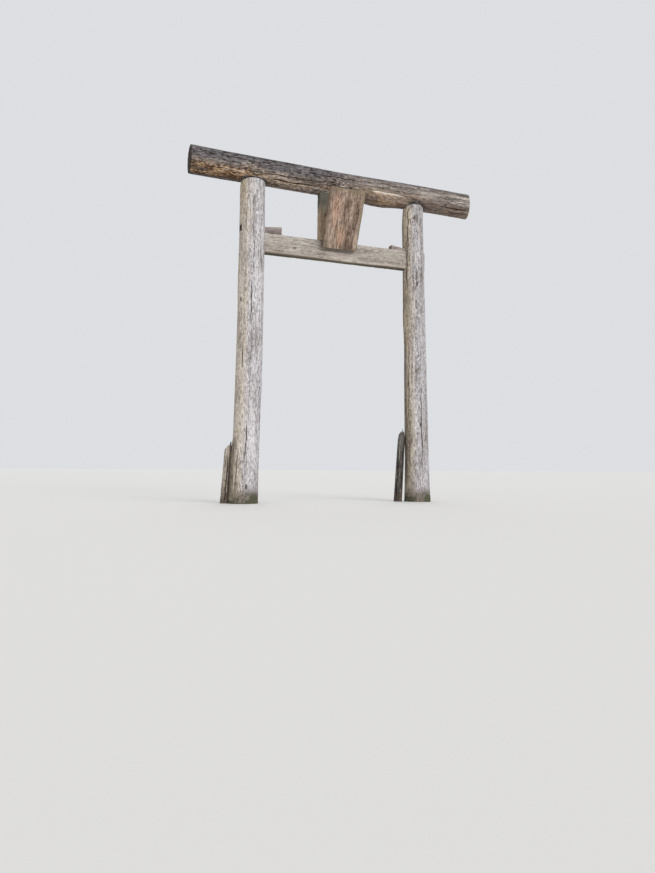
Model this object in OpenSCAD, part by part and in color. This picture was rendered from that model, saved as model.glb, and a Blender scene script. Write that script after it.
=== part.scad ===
// Rustic log gate: two leaning log posts, a round top log, a wedged tie beam and a tilted wooden plaque.
// X runs along the gate from the left post to the right one, -Y faces the viewer, Z is up.
// The origin is the centre of the left post's foot.

/* [Whole gate] */
// distance between the posts' feet, centre to centre
foot_span = 1446; // [900:2:2600]
// clear height under the tie beam
clear_h = 1898; // [1500:2:2600]
// height of the gap between the tie beam and the top log
bay_h = 372; // [220:2:800]

/* [Posts] */
// left post's radius at the foot, before the butt's flare
left_foot_r = 100; // [70:1:160]
// left post's radius at the head
left_head_r = 93; // [60:1:150]
// right post's radius at the foot, before the butt's flare
right_foot_r = 101; // [70:1:160]
// right post's radius at the head
right_head_r = 81; // [60:1:150]
// how far each post leans inwards, per metre of height
lean_per_m = 18; // [0:1:60]
// sideways bow of the left post at mid height
left_bow = 11; // [0:1:40]
// sideways bow of the right post at mid height
right_bow = 2; // [0:1:40]
// widening of the butt at the ground
butt_flare = 5; // [0:1:30]
// height over which the butt's flare dies out
flare_h = 120; // [40:10:400]
// rounding of the left head's edge
left_head_round = 14; // [2:1:30]
// rounding of the right head's edge
right_head_round = 24; // [2:1:30]

/* [Top log] */
// radius of the top log
log_r = 100; // [60:1:180]
// overhang past the left post's foot centre
left_over = 440; // [200:5:900]
// overhang past the right post's foot centre
right_over = 470; // [200:5:900]
// rise of the log's left end above its middle
left_rise = 18; // [0:1:60]
// drop of the log's right end below its middle
right_drop = 12; // [0:1:60]
// extra radius at the log's ends
end_flare = 4; // [0:1:20]
// bulge of an old branch collar on the log's underside
swell = 20; // [0:1:40]
// place of the bulge, as a share of the log's length
swell_at = 0.65; // [0.3:0.01:0.9]
// length of the bulge to each side, as a share of the log's length
swell_reach = 0.063; // [0.02:0.001:0.2]
// depth of a post's flat seat above the lowest line of a straight log
seat_depth = 21; // [14:1:60]
// gap around a post's head in its seat
seat_gap = 2; // [1:0.5:8]
// worn rounding of the log's ends
end_round = 7; // [2:1:25]
// how many degrees the right end is sawn out of square
right_skew = 16; // [0:1:25]

/* [Stub tenons] */
// side of the square stub tenon on a post's head
stub_w = 62; // [30:1:90]
// height of the stub tenon
stub_h = 64; // [20:1:120]
// clearance around a tenon in its mortise
tenon_gap = 1; // [0.5:0.5:4]

/* [Tie beam] */
// height of the tie beam
tie_h = 150; // [80:1:260]
// thickness of the tie beam
tie_t = 66; // [30:1:120]
// how far a tie beam's end stays inside the post's outer side
tie_inset = 2; // [0:1:40]
// eased edge of sawn timber
ease = 4; // [1:0.5:12]

/* [Wedges] */
// left wedge's thickness where it enters the post
left_wedge_in = 49; // [10:1:80]
// left wedge's thickness at its free end
left_wedge_out = 61; // [12:1:90]
// right wedge's thickness where it enters the post
right_wedge_in = 18; // [8:1:80]
// right wedge's thickness at its free end
right_wedge_out = 36; // [10:1:90]
// length of a wedge that stands clear of the post
wedge_free = 130; // [40:5:250]
// length of a wedge that is driven into the mortise
wedge_driven = 95; // [30:5:160]
// width of a wedge across the gate
wedge_w = 58; // [20:1:110]

/* [Centre board] */
// width of the board between the tie beam and the top log
board_w = 302; // [80:2:500]
// thickness of the board
board_t = 70; // [30:1:120]
// depth to which the board's head enters the top log
board_housing = 16; // [6:1:40]
// length of the tenon under the board
board_tenon_l = 110; // [60:2:200]
// thickness of the tenon under the board
board_tenon_t = 26; // [12:1:50]
// depth of the tenon under the board
board_tenon_d = 34; // [15:1:60]

/* [Plaque] */
// widest width of the plaque
plaque_w = 290; // [150:2:500]
// height of the plaque along its face
plaque_h = 448; // [200:2:800]
// thickness of the plaque
plaque_t = 62; // [25:1:110]
// forward tilt of the plaque in degrees
plaque_tilt = 25.4; // [0:0.2:40]
// how far the plaque's lower front edge hangs below the tie beam's top
plaque_drop = 75; // [40:1:110]
// slant of the plaque's natural side edges
plaque_bevel = 20; // [2:1:40]
// gap between the plaque's lower back edge and the tie beam
plaque_gap = 0.5; // [0.2:0.1:3]
// distance of each pin and stay from the plaque's centre line
fixing_half = 80; // [65:1:120]

/* [Iron] */
// radius of a pin at the plaque's foot
pin_r = 6; // [3:0.5:12]
// radius of a stay behind the plaque's head
stay_r = 8; // [4:0.5:14]
// height of the stays between the tie beam and the top log, as a share of that gap
stay_share = 0.64; // [0.3:0.01:0.85]
// radius of a spike through the top log
spike_r = 7; // [4:0.5:12]
// length of a spike below its head
spike_l = 220; // [120:5:320]
// clearance around iron in its bore
bore_gap = 0.3; // [0.2:0.1:1]

/* [Stakes] */
// radius of a stake at the ground
stake_r = 34; // [20:1:70]
// height of the left stake's highest splinter
left_stake_h = 478; // [150:5:900]
// height of the right stake's highest splinter
right_stake_h = 600; // [150:5:900]
// drop of the broken top from the highest splinter to the lowest
splinter = 92; // [10:2:160]
// how far a stake leans towards its post, per metre of height
stake_lean = 62; // [55:1:200]
// angle of a stake behind the post's left side
stake_turn = 14; // [0:1:60]
// gap between a stake's top and its post
stake_gap = 0.4; // [0.2:0.1:3]

/* [Log surface] */
// how far a log's section departs from a circle, as a share of its radius
lump = 0.018; // [0:0.002:0.06]
// facets around a log
facets = 28; // [12:2:48]
// rings along a post
post_rings = 13; // [6:1:30]

/* [Output] */
// which piece to draw

/* [Hidden] */
$fn = 64;
tie_top = clear_h + tie_h;
axis_z = tie_top + bay_h + log_r;
head_z = axis_z - log_r + seat_depth;
log_x0 = -left_over;
log_x1 = foot_span + right_over;
// a post's foot position, lean, bow, foot radius, head radius and surface seed
left_shape = [0, lean_per_m / 1000, left_bow, left_foot_r, left_head_r, 1];
right_shape = [foot_span, -lean_per_m / 1000, -right_bow, right_foot_r, right_head_r, 4];

// sideways position of a post's axis at height z
function post_x(z, shape) = shape[0] + shape[1] * z + shape[2] * sin(180 * z / head_z);
// radius of a post at height z
function post_r(z, shape) =
    shape[3] + (shape[4] - shape[3]) * z / head_z + butt_flare * exp(-z / flare_h);

left_mid = post_x(clear_h + tie_h / 2, left_shape);
right_mid = post_x(clear_h + tie_h / 2, right_shape);
left_mid_r = post_r(clear_h + tie_h / 2, left_shape);
right_mid_r = post_r(clear_h + tie_h / 2, right_shape);
left_head_x = post_x(head_z, left_shape);
right_head_x = post_x(head_z, right_shape);
middle_x = (left_mid + right_mid) / 2;
board_top = axis_z + log_rise(middle_x) - log_r + board_housing;
plaque_y = -tie_t / 2 - plaque_gap - plaque_t * cos(plaque_tilt);
plaque_z = tie_top - plaque_drop;
pin_z = plaque_z + plaque_t * sin(plaque_tilt) + 2.4 * pin_r;
stay_z = tie_top + stay_share * bay_h;
// depth of the plaque's back face at height z
function plaque_back(z) =
    -tie_t / 2 - plaque_gap - (z - plaque_z - plaque_t * sin(plaque_tilt)) * tan(plaque_tilt);

// height of the top log's axis at x above a straight one
function log_rise(x) = let (t = (x - log_x0) / (log_x1 - log_x0)) left_rise * pow(1 - t, 3) - right_drop * t * t;
// underside of a spike's head at x
function spike_top(x) = axis_z + log_rise(x) + log_r - 9;

// share of the radius added to a log's section at angle a and share t of its length
function lumps(a, t, seed) = 1 + lump * (0.5 * sin(2 * a + 210 * t + 57 * seed)
    + 0.32 * sin(3 * a - 150 * t + 131 * seed) + 0.18 * sin(5 * a + 420 * t + 17 * seed));

// one ring of a log's points around its centre
function ring(centre, r, t, seed) = [for (j = [0 : facets - 1])
    let (a = 360 * j / facets, q = r * lumps(a, t, seed))
    [centre[0] + q * cos(a), centre[1] + q * sin(a), centre[2]]];

// one ring of the top log, with its curve, wider ends and bulge; angle 0 points down
function log_ring(x, r) = let (t = (x - log_x0) / (log_x1 - log_x0)) [for (j = [0 : facets - 1])
    let (a = 360 * j / facets,
        bulge = swell * exp(-pow((t - swell_at) / swell_reach, 2)) * pow(max(0, cos(a)), 1.5),
        q = (r + end_flare * pow(2 * t - 1, 4)) * lumps(a, t, 7) + bulge)
    [q * cos(a) - log_rise(x), q * sin(a), x]];

// a ring moved out of square, as the top log's right end is sawn
function sawn(loop) = [for (p = loop) [p[0], p[1], p[2] + p[1] * tan(right_skew)]];

// skin over rings of points, closed by a flat cap at each end
module skin(rings) {
    n = len(rings[0]);
    m = len(rings);
    polyhedron(
        points = [for (loop = rings) each loop],
        faces = concat(
            [[for (j = [0 : n - 1]) j]],
            [for (i = [0 : m - 2], j = [0 : n - 1])
                let (k = (j + 1) % n) each [
                    [i * n + j, (i + 1) * n + j, (i + 1) * n + k],
                    [i * n + j, (i + 1) * n + k, i * n + k]]],
            [[for (j = [n - 1 : -1 : 0]) (m - 1) * n + j]]),
        convexity = 6);
}

// a bar of sawn timber with eased long edges, along X from x0 to x1
module timber(x0, x1, t, h) {
    translate([x0, 0, 0]) rotate([90, 0, 90]) linear_extrude(x1 - x0)
        polygon([[-t / 2 + ease, 0], [t / 2 - ease, 0], [t / 2, ease], [t / 2, h - ease],
            [t / 2 - ease, h], [-t / 2 + ease, h], [-t / 2, h - ease], [-t / 2, ease]]);
}

// round bar or bore along -Y, from y0 towards the viewer
module rod_y(x, y0, z, r, l) {
    translate([x, y0, z]) rotate([90, 0, 0]) cylinder(r = r, h = l);
}

// log post with a flat head, stub tenon, through mortise and spike bore
module post(shape, head_round, room) {
    mid = post_x(clear_h + tie_h / 2, shape);
    head_x = post_x(head_z, shape);
    seed = shape[5];
    levels = concat([0, 35], [for (i = [0 : post_rings]) 90 + (head_z - head_round - 90) * i / post_rings]);
    difference() {
        union() {
            skin(concat(
                [for (z = levels) ring([post_x(z, shape), 0, z], post_r(z, shape), z / head_z, seed)],
                [ring([head_x, 0, head_z], post_r(head_z, shape) - head_round, 1, seed)]));
            translate([head_x - stub_w / 2, -stub_w / 2, head_z - 20]) cube([stub_w, stub_w, stub_h + 20]);
        }
        translate([mid - 2 * shape[3], -tie_t / 2 - tenon_gap, clear_h])
            cube([4 * shape[3], tie_t + 2 * tenon_gap, tie_h + room]);
        translate([head_x, 0, spike_top(head_x) - spike_l - 2]) cylinder(r = spike_r + bore_gap, h = spike_l);
    }
}

module left_post() {
    color([0.62, 0.60, 0.57]) post(left_shape, left_head_round, left_wedge_in);
}

module right_post() {
    color([0.64, 0.62, 0.58]) post(right_shape, right_head_round, right_wedge_in);
}

// seat, mortise and spike bore for one post, cut into the top log
module seat(head_x, head_r) {
    translate([head_x, 0, axis_z - 2 * log_r]) cylinder(r = head_r * (1 + lump) + seat_gap, h = log_r + seat_depth);
    translate([head_x - stub_w / 2 - tenon_gap, -stub_w / 2 - tenon_gap, head_z - 1])
        cube([stub_w + 2 * tenon_gap, stub_w + 2 * tenon_gap, stub_h + 1 + tenon_gap]);
    translate([head_x, 0, head_z]) cylinder(r = spike_r + bore_gap, h = 2 * log_r);
    translate([head_x, 0, spike_top(head_x)]) cylinder(r = 2.6 * spike_r, h = log_r);
}

// worn round log across both posts, with the seats for the posts and the board in its underside
module top_log() {
    count = 24;
    r = log_r / (1 + lump);
    color([0.50, 0.43, 0.36]) difference() {
        translate([0, 0, axis_z]) rotate([0, 90, 0])
            skin(concat(
                [log_ring(log_x0, r - end_round)],
                [for (i = [0 : count - 1])
                    log_ring(log_x0 + end_round + (log_x1 - log_x0 - 2 * end_round) * i / count, r)],
                [sawn(log_ring(log_x1 - end_round, r)), sawn(log_ring(log_x1, r - end_round))]));
        seat(left_head_x, left_head_r);
        seat(right_head_x, right_head_r);
        translate([middle_x - board_w / 2 - tenon_gap, -board_t / 2 - tenon_gap, axis_z - 2 * log_r])
            cube([board_w + 2 * tenon_gap, board_t + 2 * tenon_gap, board_top - axis_z + 2 * log_r]);
    }
}

// sawn beam through both posts, with a mortise for the board and bores for the plaque's pins
module tie_beam() {
    x0 = left_mid - left_mid_r + tie_inset;
    x1 = right_mid + right_mid_r - tie_inset;
    color([0.66, 0.58, 0.48]) difference() {
        translate([0, 0, clear_h]) timber(x0, x1, tie_t, tie_h);
        translate([middle_x - board_tenon_l / 2 - tenon_gap, -board_tenon_t / 2 - tenon_gap,
            tie_top - board_tenon_d - tenon_gap])
            cube([board_tenon_l + 2 * tenon_gap, board_tenon_t + 2 * tenon_gap, board_tenon_d + 2]);
        for (s = [-1, 1]) rod_y(middle_x + s * fixing_half, -tie_t / 2 + 30, pin_z, pin_r + bore_gap, 60);
    }
}

// wedge that lies on the tie beam, thick at its free end, drawn for an entry at x = 0 and a post on its left
module wedge(enter, free) {
    slope = (free - enter) / wedge_free;
    translate([0, wedge_w / 2, tie_top]) rotate([90, 0, 0]) linear_extrude(wedge_w)
        polygon([[-wedge_driven, 0], [wedge_free, 0], [wedge_free, free],
            [0, enter - tenon_gap / 2], [-wedge_driven, enter - tenon_gap / 2 - slope * wedge_driven]]);
}

module left_wedge() {
    color([0.56, 0.52, 0.47]) translate([left_mid + left_mid_r, 0, 0]) wedge(left_wedge_in, left_wedge_out);
}

module right_wedge() {
    color([0.56, 0.52, 0.47]) translate([right_mid - right_mid_r, 0, 0]) mirror([1, 0, 0])
        wedge(right_wedge_in, right_wedge_out);
}

// board that stands on the tie beam and is housed in the top log
module centre_board() {
    color([0.45, 0.36, 0.27]) difference() {
        union() {
            translate([middle_x - board_w / 2, -board_t / 2, tie_top]) cube([board_w, board_t, board_top - tie_top]);
            translate([middle_x - board_tenon_l / 2, -board_tenon_t / 2, tie_top - board_tenon_d])
                cube([board_tenon_l, board_tenon_t, board_tenon_d + 5]);
        }
        for (s = [-1, 1]) rod_y(middle_x + s * fixing_half, 0, stay_z, stay_r + bore_gap, board_t);
    }
}

// thick slab with slanted natural edges, leaning forwards from the tie beam
module plaque() {
    w = plaque_w / 2;
    color([0.62, 0.47, 0.37]) difference() {
        translate([middle_x, plaque_y, plaque_z]) rotate([plaque_tilt, 0, 0]) linear_extrude(plaque_h)
            polygon([[-w + plaque_bevel, 0], [w - plaque_bevel, 0], [w, plaque_t * 0.62], [w - 3, plaque_t],
                [-w + 3, plaque_t], [-w, plaque_t * 0.62]]);
        for (s = [-1, 1]) {
            rod_y(middle_x + s * fixing_half, -tie_t / 2 + 5, pin_z, pin_r + bore_gap, 45);
            rod_y(middle_x + s * fixing_half, 0, stay_z, stay_r + bore_gap, 28 - plaque_back(stay_z));
        }
    }
}

// iron pin between the tie beam and the plaque's foot
module pin(s) {
    color([0.20, 0.18, 0.17])
        rod_y(middle_x + s * fixing_half, -tie_t / 2 + 29, pin_z, pin_r, 66);
}

// iron stay between the board and the plaque's head
module stay(s) {
    color([0.20, 0.18, 0.17])
        rod_y(middle_x + s * fixing_half, -1, stay_z, stay_r, 26 - plaque_back(stay_z));
}

// iron spike with a flat round head, driven through the top log into a post
module spike(head_x) {
    color([0.20, 0.18, 0.17]) translate([head_x, 0, spike_top(head_x) - spike_l]) {
        cylinder(r = spike_r, h = spike_l + 1);
        translate([0, 0, spike_l]) cylinder(r = 2.2 * spike_r, h = 5);
    }
}

// short broken stake that leans on the left side of a post
module stake(shape, h, seed) {
    rings = 6;
    tall = h - splinter;
    top_r = 0.86 * stake_r;
    reach = post_r(tall, shape) * lumps(180 - stake_turn, tall / head_z, shape[5])
        + top_r * lumps(-stake_turn, 1, seed) + stake_gap;
    top_x = post_x(tall, shape) - reach * cos(stake_turn);
    y = reach * sin(stake_turn);
    slope = stake_lean / 1000;
    top = [for (j = [0 : facets - 1])
        let (a = 360 * j / facets, q = top_r * lumps(a, 1, seed) * 0.97)
        [top_x + q * cos(a), y + q * sin(a),
            tall + splinter * (0.5 + 0.5 * cos(a + 12 * seed)) * (0.78 + 0.22 * cos(5 * a + 40 * seed))]];
    difference() {
        skin(concat(
            [for (i = [0 : rings])
                let (z = (tall + 30) * i / rings - 30)
                ring([top_x - slope * (tall - z), y, z], stake_r * (1 - 0.14 * i / rings), i / rings, seed)],
            [top],
            [for (q = [0.55, 0.12]) [for (p = top)
                [top_x + (p[0] - top_x) * q, y + (p[1] - y) * q, tall * 0.985 + (p[2] - tall) * q * 0.8]]]));
        translate([shape[0] - 500, -500, -60]) cube([1000, 1000, 60]);
    }
}

module left_stake() {
    color([0.40, 0.30, 0.22]) stake(left_shape, left_stake_h, 2);
}

module right_stake() {
    color([0.46, 0.40, 0.34]) stake(right_shape, right_stake_h, 5);
}

module left_pin() pin(-1);
module right_pin() pin(1);
module left_stay() stay(-1);
module right_stay() stay(1);
module left_spike() spike(left_head_x);
module right_spike() spike(right_head_x);

left_post();
right_post();
top_log();
tie_beam();
left_wedge();
right_wedge();
centre_board();
plaque();
left_pin();
right_pin();
left_stay();
right_stay();
left_spike();
right_spike();
left_stake();
right_stake();
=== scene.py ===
import math
import bpy
import numpy as np
from mathutils import Matrix, Vector


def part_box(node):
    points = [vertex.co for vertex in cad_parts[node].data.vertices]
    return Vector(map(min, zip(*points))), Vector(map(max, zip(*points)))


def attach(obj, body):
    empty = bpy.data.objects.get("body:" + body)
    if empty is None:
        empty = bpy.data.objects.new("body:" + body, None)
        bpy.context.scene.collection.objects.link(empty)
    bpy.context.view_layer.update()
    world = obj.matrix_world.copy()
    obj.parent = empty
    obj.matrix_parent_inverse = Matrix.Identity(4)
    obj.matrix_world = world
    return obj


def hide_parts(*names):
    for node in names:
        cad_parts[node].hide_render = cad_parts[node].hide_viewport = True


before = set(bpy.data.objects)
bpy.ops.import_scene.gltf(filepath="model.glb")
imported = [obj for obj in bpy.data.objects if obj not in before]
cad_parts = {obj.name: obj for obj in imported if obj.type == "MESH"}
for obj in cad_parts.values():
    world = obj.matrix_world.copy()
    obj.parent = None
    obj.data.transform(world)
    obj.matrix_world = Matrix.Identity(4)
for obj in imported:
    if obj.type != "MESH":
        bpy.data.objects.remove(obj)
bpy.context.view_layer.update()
print("frame loaded:", len(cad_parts), "nodes")

# heights and places that the pieces share, from the frame
beamLow, beamHigh = np.array(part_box("tie_beam"))
boardLow, boardHigh = np.array(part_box("centre_board"))
logLow, logHigh = np.array(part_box("top_log"))
beamTop = beamHigh[2]
middleX = (boardLow[0] + boardHigh[0]) / 2
fullTurn = 2 * math.pi
touch, clear = 0.001, 0.05                            # how far a cutter reaches past a face or a piece
rooted = 0.02                                         # how deep an added tenon starts in its piece

gate = {
    "logRadius": 0.100, "axisHeight": 2.520,
    "seatDepth": 0.021, "seatGap": 0.002,             # a post's seat above a straight log's lowest line
    "stubSide": 0.062, "stubHeight": 0.064, "tenonGap": 0.001,
    "boardTenonLength": 0.110, "boardTenonThick": 0.026,
    "spikeRadius": 0.007, "spikeLength": 0.220, "spikeSunk": 0.009, "boreGap": 0.0003,
    "lump": 0.018,                                    # how far a log is out of round
}
headHeight = gate["axisHeight"] - gate["logRadius"] + gate["seatDepth"]

# the top log's natural curve, its wider ends and the bulge of an old branch collar below
logForm = {
    "length": 2.356, "leftRise": 0.018, "rightDrop": 0.012, "endFlare": 0.004,
    "swell": 0.020, "swellAt": 0.65, "swellReach": 0.063,
}


def axisRise(x):
    t = (x - logLow[0]) / logForm["length"]
    return logForm["leftRise"] * (1 - t) ** 3 - logForm["rightDrop"] * t * t


def spikeTop(x):
    return gate["axisHeight"] + axisRise(x) + gate["logRadius"] - gate["spikeSunk"]


def addObject(name, data):
    made = bpy.data.objects.new(name, data)
    bpy.context.scene.collection.objects.link(made)
    return made


# the camera stands low in front of the gate and a little to its left
shot = {
    "place": (-1.1516, -4.9844, 0.2594),
    "yaw": 19.984, "pitch": 2.726, "roll": 0.392,     # degrees
    "focalPixels": 681.0, "frameHeight": 873, "sensorWidth": 36, "farthest": 600,
}


def makeCamera():
    camera = addObject("gateCamera", bpy.data.cameras.new("gateCamera"))
    yaw, pitch, roll = (math.radians(shot[k]) for k in ("yaw", "pitch", "roll"))
    ahead = Vector((math.sin(yaw) * math.cos(pitch), math.cos(yaw) * math.cos(pitch), math.sin(pitch)))
    right = ahead.cross(Vector((0, 0, 1))).normalized()
    up = right.cross(ahead)
    tiltedRight = right * math.cos(roll) + up * math.sin(roll)
    tiltedUp = up * math.cos(roll) - right * math.sin(roll)
    turn = Matrix((tiltedRight, tiltedUp, -ahead)).transposed().to_4x4()
    camera.matrix_world = Matrix.Translation(Vector(shot["place"])) @ turn
    camera.data.sensor_fit = "AUTO"
    camera.data.sensor_width = shot["sensorWidth"]
    camera.data.lens = shot["focalPixels"] / shot["frameHeight"] * shot["sensorWidth"]
    camera.data.clip_end = shot["farthest"]
    bpy.context.scene.camera = camera


makeCamera()
print("camera placed")


def softened(share):
    return share * share * (3 - 2 * share)


# smooth random values from 0 to 1 that join up around a log
def softNoise(turn, share, cellsAround, cellsAlong, seed):
    lattice = np.random.default_rng(seed).random((cellsAlong + 2, cellsAround))
    turn, share = np.broadcast_arrays(turn * cellsAround, np.clip(share, 0, 1) * cellsAlong)
    column, row = np.floor(turn).astype(int), np.floor(share).astype(int)
    across, up = softened(turn - column), softened(share - row)
    left, right = column % cellsAround, (column + 1) % cellsAround
    low = lattice[row, left] * (1 - across) + lattice[row, right] * across
    high = lattice[row + 1, left] * (1 - across) + lattice[row + 1, right] * across
    return low * (1 - up) + high * up


def smoothStep(value, low, high, unit=1):
    return softened(np.clip((value / unit - low) / (high - low), 0, 1))


def taper(share):                                     # 1 in the middle of a streak, 0 at its ends
    return np.sqrt(np.clip(4 * share * (1 - share), 0, 1))


def angleGap(angle, centre):                          # signed, in radians
    return (angle - math.radians(centre) + math.pi) % fullTurn - math.pi


# a soft band along a log: centre and half width in degrees, softness of its edge, strength
def bands(angle, rows):
    total = np.zeros_like(angle)
    for centre, half, soft, strength in rows:
        away = np.degrees(np.abs(angleGap(angle, centre)))
        total = np.maximum(total, strength * (1 - smoothStep(away, half - soft, half + soft)))
    return total


streakForm = {
    "noiseLength": 3, "noiseShift": 0.2,              # in metres, and the share where the noise starts
    "driftCells": 50, "edgeCells": 160, "edgeLow": 0.7, "edgeSpread": 0.6, "core": 1.25,
}


# narrow streaks along a log, each with its angle, low and high end, width and strength
def streaks(angle, along, radius, rows, wander, seed):
    mask = np.zeros_like(angle)
    form = streakForm
    place = along / form["noiseLength"] + form["noiseShift"]
    for i, (centre, low, high, width, strength) in enumerate(rows):
        drift = (softNoise(0 * along, place, 1, form["driftCells"], seed + i) - 0.5) * wander
        ragged = softNoise(0 * along, place, 1, form["edgeCells"], seed + 40 + i)
        ragged = form["edgeLow"] + form["edgeSpread"] * ragged
        away = np.abs(angleGap(angle, centre) - drift) * radius
        inside = np.clip(form["core"] - away / (width / 2 * ragged), 0, 1)
        mask = np.maximum(mask, strength * taper((along - low) / (high - low)) * inside)
    return np.clip(mask, 0, 1)


# soft patches on a log, each with its angle, half width in degrees, low and high end and strength
def patches(angle, along, rows):
    total = np.zeros_like(angle)
    for centre, half, low, high, strength in rows:
        side = np.abs(angleGap(angle, centre)) / math.radians(half)
        off = np.abs(along - (low + high) / 2) / ((high - low) / 2)
        soft = (1 - smoothStep(side, 0.45, 1.25)) * (1 - smoothStep(off, 0.7, 1.2))
        total = np.maximum(total, strength * soft)
    return total


# share of the radius added to a log's section, as in the frame
def lumps(angle, share, seed):
    wave = (0.5 * np.sin(2 * angle + np.radians(210 * share + 57 * seed))
            + 0.32 * np.sin(3 * angle - np.radians(150 * share - 131 * seed))
            + 0.18 * np.sin(5 * angle + np.radians(420 * share + 17 * seed)))
    return 1 + gate["lump"] * wave


# waves: cells around and along, height. fissures: cells around and along, depth, how fine
def roughen(relief, turn, share, look, seed, patchCells, patchFrom):
    waves = [height * (softNoise(turn, share, around, rows, seed + i) - 0.5)
             for i, (around, rows, height) in enumerate(look["waves"])]
    relief += sum(waves)
    for i, (around, rows, depth, fine) in enumerate(look["fissures"]):
        groove = softNoise(turn, share, around, rows, seed + 20 + i)
        where = smoothStep(softNoise(turn, share, *patchCells, seed + 30 + i), patchFrom, 0.7)
        relief -= depth * where * np.clip(1 - np.abs(groove - 0.5) * fine, 0, 1)
    return waves[0]


# knots are wider along the log than around it, and the grain bends around them (lengths in metres)
logSkin = {
    "knotStretch": 0.55, "bendReach": 2.2, "bend": 0.8, "knotRim": 0.0011, "knotDip": 0.0020,
    "crackDepth": 0.006, "crackWander": 0.12, "fleckDepth": 0.0012, "fleckWander": 0.05, "reliefUnit": 0.003,
}


# relief and masks of a bare log's surface
def logSurface(angle, along, radius, length, look):
    seed, form = look["seed"] * 100, logSkin
    bent = angle.copy()
    knot = np.zeros_like(angle)
    relief = np.zeros_like(angle)
    for centre, place, size in look["knots"]:
        side, up = angleGap(angle, centre) * radius, (along - place) * form["knotStretch"]
        away = np.hypot(side, up) / size
        near = np.exp(-(away / form["bendReach"]) ** 2)
        bent += side / (away * size + 0.004) * near * size / radius * form["bend"]
        knot = np.maximum(knot, 1 - smoothStep(away, 0.55, 1.05))
        rim, dip = np.exp(-((away - 1.1) / 0.45) ** 2), np.exp(-(away / 0.7) ** 2)
        relief += form["knotRim"] * rim - form["knotDip"] * dip
    broadest = roughen(relief, bent / fullTurn % 1, along / length, look, seed, (9, 14), 0.35)
    crack = streaks(angle, along, radius, look["cracks"], form["crackWander"], seed + 50)
    relief -= form["crackDepth"] * crack
    pale = streaks(angle, along, radius, look["flecks"], form["fleckWander"], seed + 70)
    relief -= form["fleckDepth"] * smoothStep(pale, 0.2, 0.6)
    grain = np.stack([radius * np.cos(bent), radius * np.sin(bent), along * np.ones_like(bent)], -1)
    return relief, {"grain": grain, "knot": knot, "crack": crack, "pale": pale,
                    "relief": np.clip((relief - broadest) / form["reliefUnit"], -1, 1)}


# every angle around a log at every station
def logGrid(around, *stations):
    angle = np.arange(around) * fullTurn / around
    return [grid.copy() for grid in np.broadcast_arrays(angle[None, :], *(s[:, None] for s in stations))]


# closed mesh over rings of points, with a fan over each end
def skinRings(name, rings, masks):
    count, around = rings.shape[:2]
    points = np.concatenate([rings.reshape(-1, 3), rings[:1].mean(1), rings[-1:].mean(1)])
    row, column = np.arange(count - 1)[:, None] * around, np.arange(around)[None, :]
    beside = (column + 1) % around
    quads = np.stack([row + column, row + beside, row + around + beside, row + around + column], -1)
    lastRow = (count - 1) * around
    lowFan = [(count * around, (j + 1) % around, j) for j in range(around)]
    highFan = [(count * around + 1, lastRow + j, lastRow + (j + 1) % around) for j in range(around)]
    mesh = bpy.data.meshes.new(name)
    mesh.from_pydata(points.tolist(), [], quads.reshape(-1, 4).tolist() + lowFan + highFan)
    for key, values in masks.items():
        size = values.shape[2:]
        column = np.concatenate([values.reshape(-1, *size), values[:1].mean(1), values[-1:].mean(1)])
        layer = mesh.attributes.new(key, "FLOAT_VECTOR" if size else "FLOAT", "POINT")
        layer.data.foreach_set("vector" if size else "value", column.astype(np.float32).ravel())
    return addObject(name, mesh)


# rings that close an end: each is the last one drawn in towards its middle
def closeEnd(rings, masks, atStart, shares):
    edge = rings[:1] if atStart else rings[-1:]
    middle = edge.mean(1, keepdims=True)
    inner = np.concatenate([middle + (edge - middle) * s for s in shares])
    for key, values in masks.items():
        copies = np.repeat(values[:1] if atStart else values[-1:], len(shares), axis=0)
        masks[key] = np.concatenate([copies, values] if atStart else [values, copies])
    return np.concatenate([inner[::-1], rings] if atStart else [rings, inner])


def makeBlock(low, high):
    low, high = np.array(low), np.array(high)
    loop = [(0, 0), (1, 0), (1, 1), (0, 1)]
    rings = np.array([[(*p, level) for p in loop] for level in (0, 1)], dtype=float)
    return skinRings("block", low + rings * (high - low), {})


# round bar between two points, as a cutter
def makeRod(start, end, radius, sides=48):
    start, end = Vector(start), Vector(end)
    turn = (end - start).to_track_quat("Z", "Y")
    angles = np.arange(sides) * fullTurn / sides
    rings = [[start + turn @ Vector((radius * math.cos(a), radius * math.sin(a), z)) for a in angles]
             for z in (0, (end - start).length)]
    return skinRings("rod", np.array(rings), {})


def carve(piece, cutter, operation="DIFFERENCE"):
    step = piece.modifiers.new("carve", "BOOLEAN")
    step.solver, step.operation, step.object = "MANIFOLD", operation, cutter
    bpy.context.view_layer.update()
    graph = bpy.context.evaluated_depsgraph_get()
    carved = bpy.data.meshes.new_from_object(piece.evaluated_get(graph))
    piece.modifiers.remove(step)
    rough = piece.data
    piece.data = carved
    bpy.data.meshes.remove(rough)
    bpy.data.objects.remove(cutter)


# bores for two of the iron rods, over their whole length
def boreRods(piece, kind, past=touch):
    for node in ("left_" + kind, "right_" + kind):
        low, high = np.array(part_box(node))
        x, z, r = (low[0] + high[0]) / 2, (low[2] + high[2]) / 2, (high[2] - low[2]) / 2 + gate["boreGap"]
        carve(piece, makeRod((x, low[1] - touch, z), (x, high[1] + past, z), r))


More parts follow.
